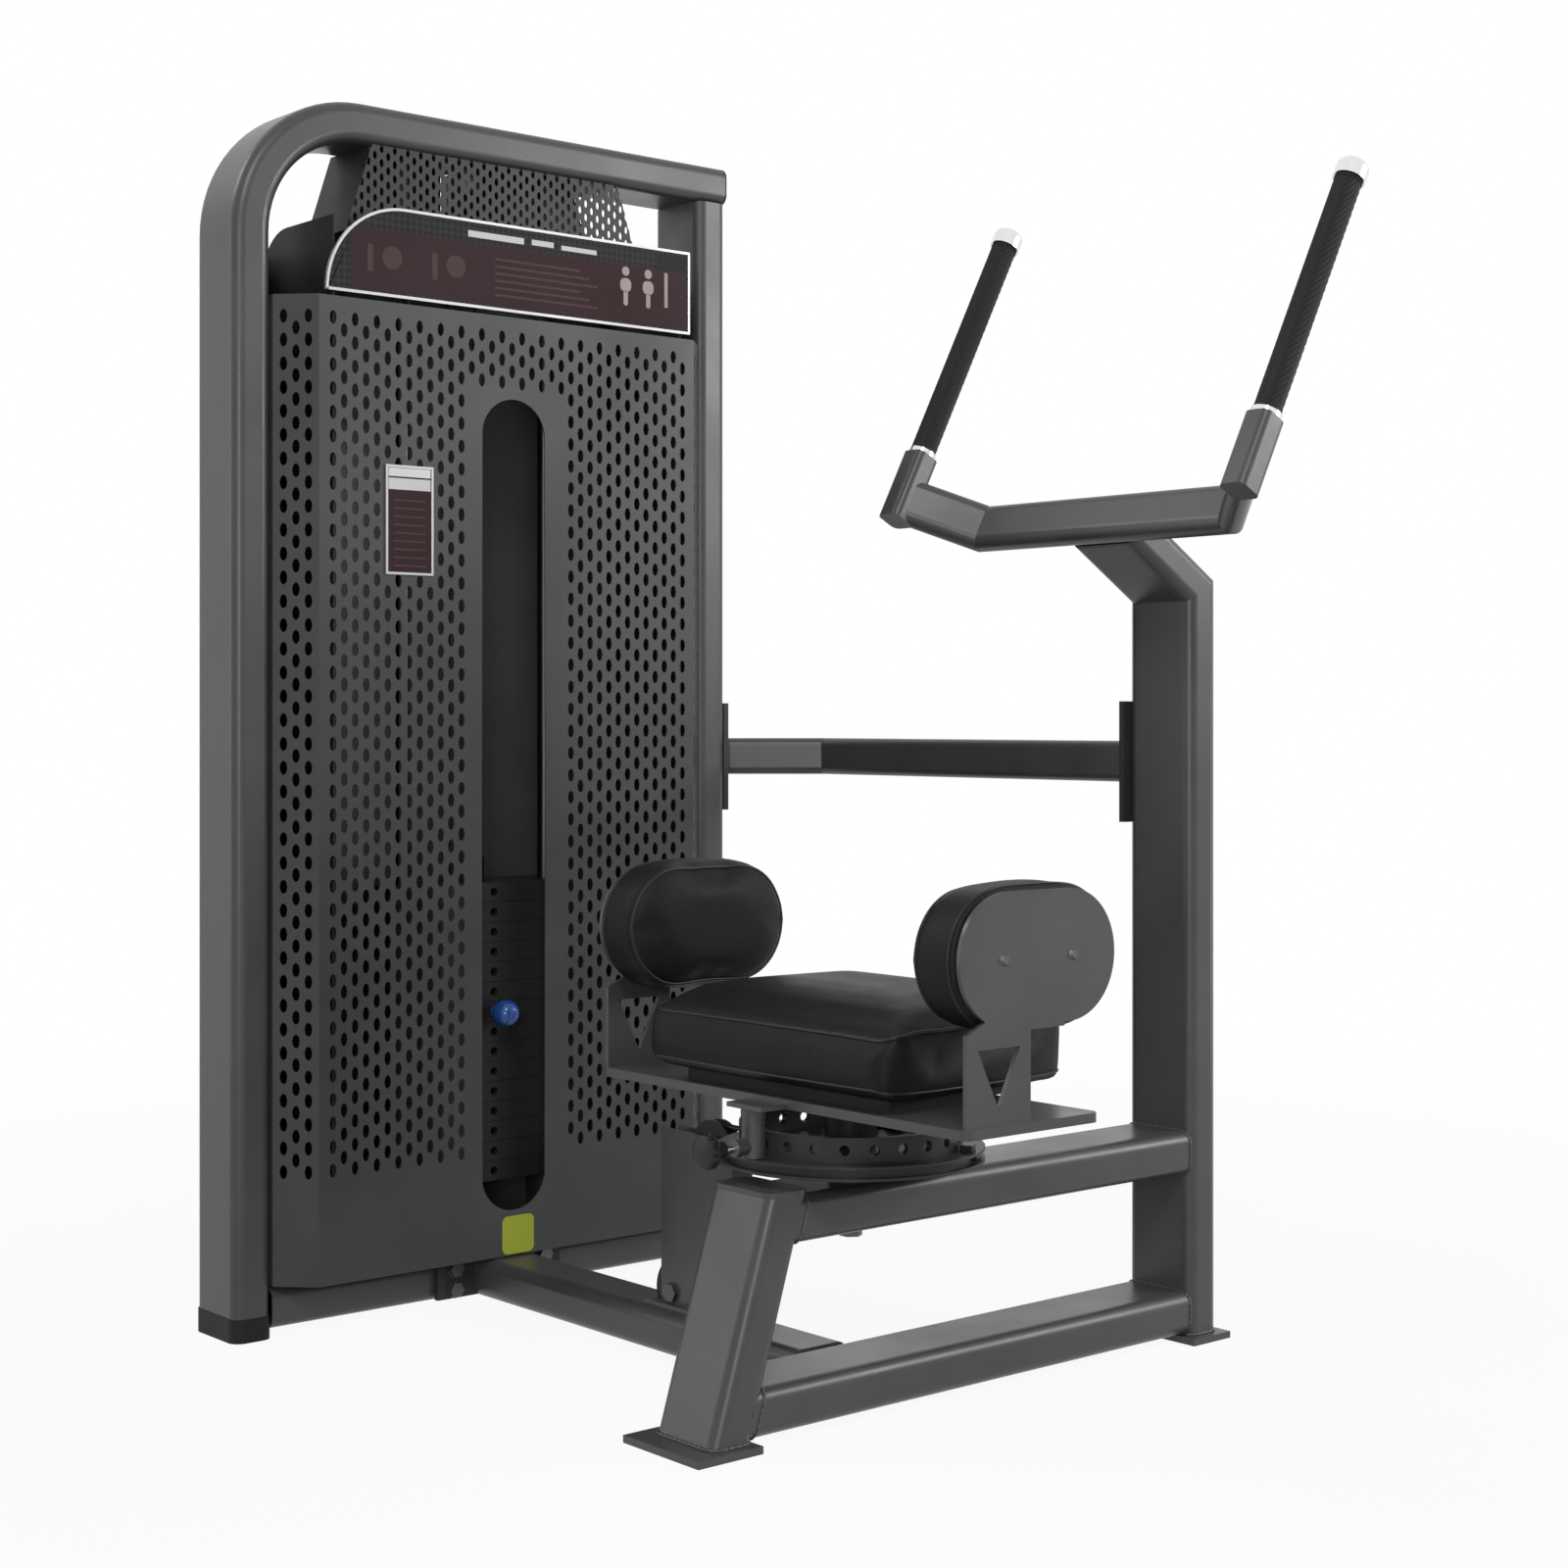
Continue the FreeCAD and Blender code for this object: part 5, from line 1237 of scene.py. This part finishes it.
def straight_end(name, low, top, radius):
    """A round length of cable with softly rounded ends, above the stack's stem."""
    clear_selection()
    bpy.ops.mesh.primitive_cylinder_add(vertices=20, radius=radius * MM, depth=(top - low) * MM,
                                        location=spot(CENTRE_X, STACK_Y, (low + top) / 2))
    length = bpy.context.object
    length.name = name
    place_in_mesh(length)
    open_at(length, "FACE", lambda c, n: abs(n.z) > 0.9)
    bpy.ops.mesh.inset(thickness=0.25 * radius * MM, depth=0)
    close_edit()
    smooth(length, 50)
    coat(length, cable_jacket)
    return length


moving_end = straight_end("cable_lower_length", STEM_TOP, PULLEY_Z - STACK_TRAVEL, 3.0)
fixed_end = straight_end("cable_upper_length", PULLEY_Z - STACK_TRAVEL - 2, PULLEY_Z, 2.9)
hand_over(moving_end, "lifted_stack", "coated_cable", "stack_cable")
hand_over(fixed_end, "frame", "coated_cable")

# %% [markdown]
# ## Weld beads
# Where one tube ends on another, the frame shows a weld: a thin bead with small ripples round the
# tube's end. Each bead is a cord laid round the end's outline, and every second point of the cord
# is thinner, which makes the ripples.

# %% Weld beads
TUBE_LONG, TUBE_SHORT, TUBE_CORNER = 100.0, 50.0, 14.0
POST_X, LEG_X, LEG_TOP_X = 868.0, 142.0, 217.0
FOOT_TOP, SEAT_BEAM_LOW, BEAM_LOW = 8.0, 201.0, 10.0
LEG_WIDER = 4


def bead(frame_at, wide, tall, corner, thick=0.005):
    """A rippled cord round a tube end. frame_at turns a place on the end into metres."""
    a, b = wide / 2 - corner, tall / 2 - corner
    ends = [(a, -b, corner, -90), (a, b, corner, 0), (-a, b, corner, 90), (-a, -b, corner, 180)]
    line = [frame_at(u, v) for u, v in rounded_loop(ends, 0.004)]
    return piping("bead", line, thick, charcoal, ripple=0.55)


def at_post_foot(u, v):
    return spot(POST_X + TUBE_SHORT / 2 + u, SEAT_Y + v, FOOT_TOP + 1)


def at_leg_foot(u, v):
    return spot(LEG_X + TUBE_SHORT / 2 + u, SEAT_Y + v, FOOT_TOP + 1)


def at_beam_end(low):
    """The end of a level beam against the post's front side."""
    return lambda u, v: spot(POST_X - 1, SEAT_Y + u, low + TUBE_SHORT / 2 + v)


def at_leg_side(low):
    """The end of a level beam against the leg, which leans."""
    slope = (LEG_TOP_X - LEG_X) / (SEAT_BEAM_LOW + TUBE_SHORT - BEAM_LOW)
    across = TUBE_SHORT * math.hypot(1, slope)

    def place(u, v):
        z = low + TUBE_SHORT / 2 + v
        return spot(LEG_X + across + slope * (z - BEAM_LOW) + 1, SEAT_Y + u, z)
    return place


beads = [bead(at_post_foot, TUBE_SHORT, TUBE_LONG, TUBE_CORNER),
         bead(at_leg_foot, TUBE_SHORT + LEG_WIDER, TUBE_LONG, TUBE_CORNER)]
for low in (BEAM_LOW, SEAT_BEAM_LOW):
    beads.append(bead(at_beam_end(low), TUBE_LONG, TUBE_SHORT, TUBE_CORNER))
    beads.append(bead(at_leg_side(low), TUBE_LONG, TUBE_SHORT, TUBE_CORNER))
beads = join(beads, "weld_beads")
hand_over(beads, "frame", "charcoal_frame")
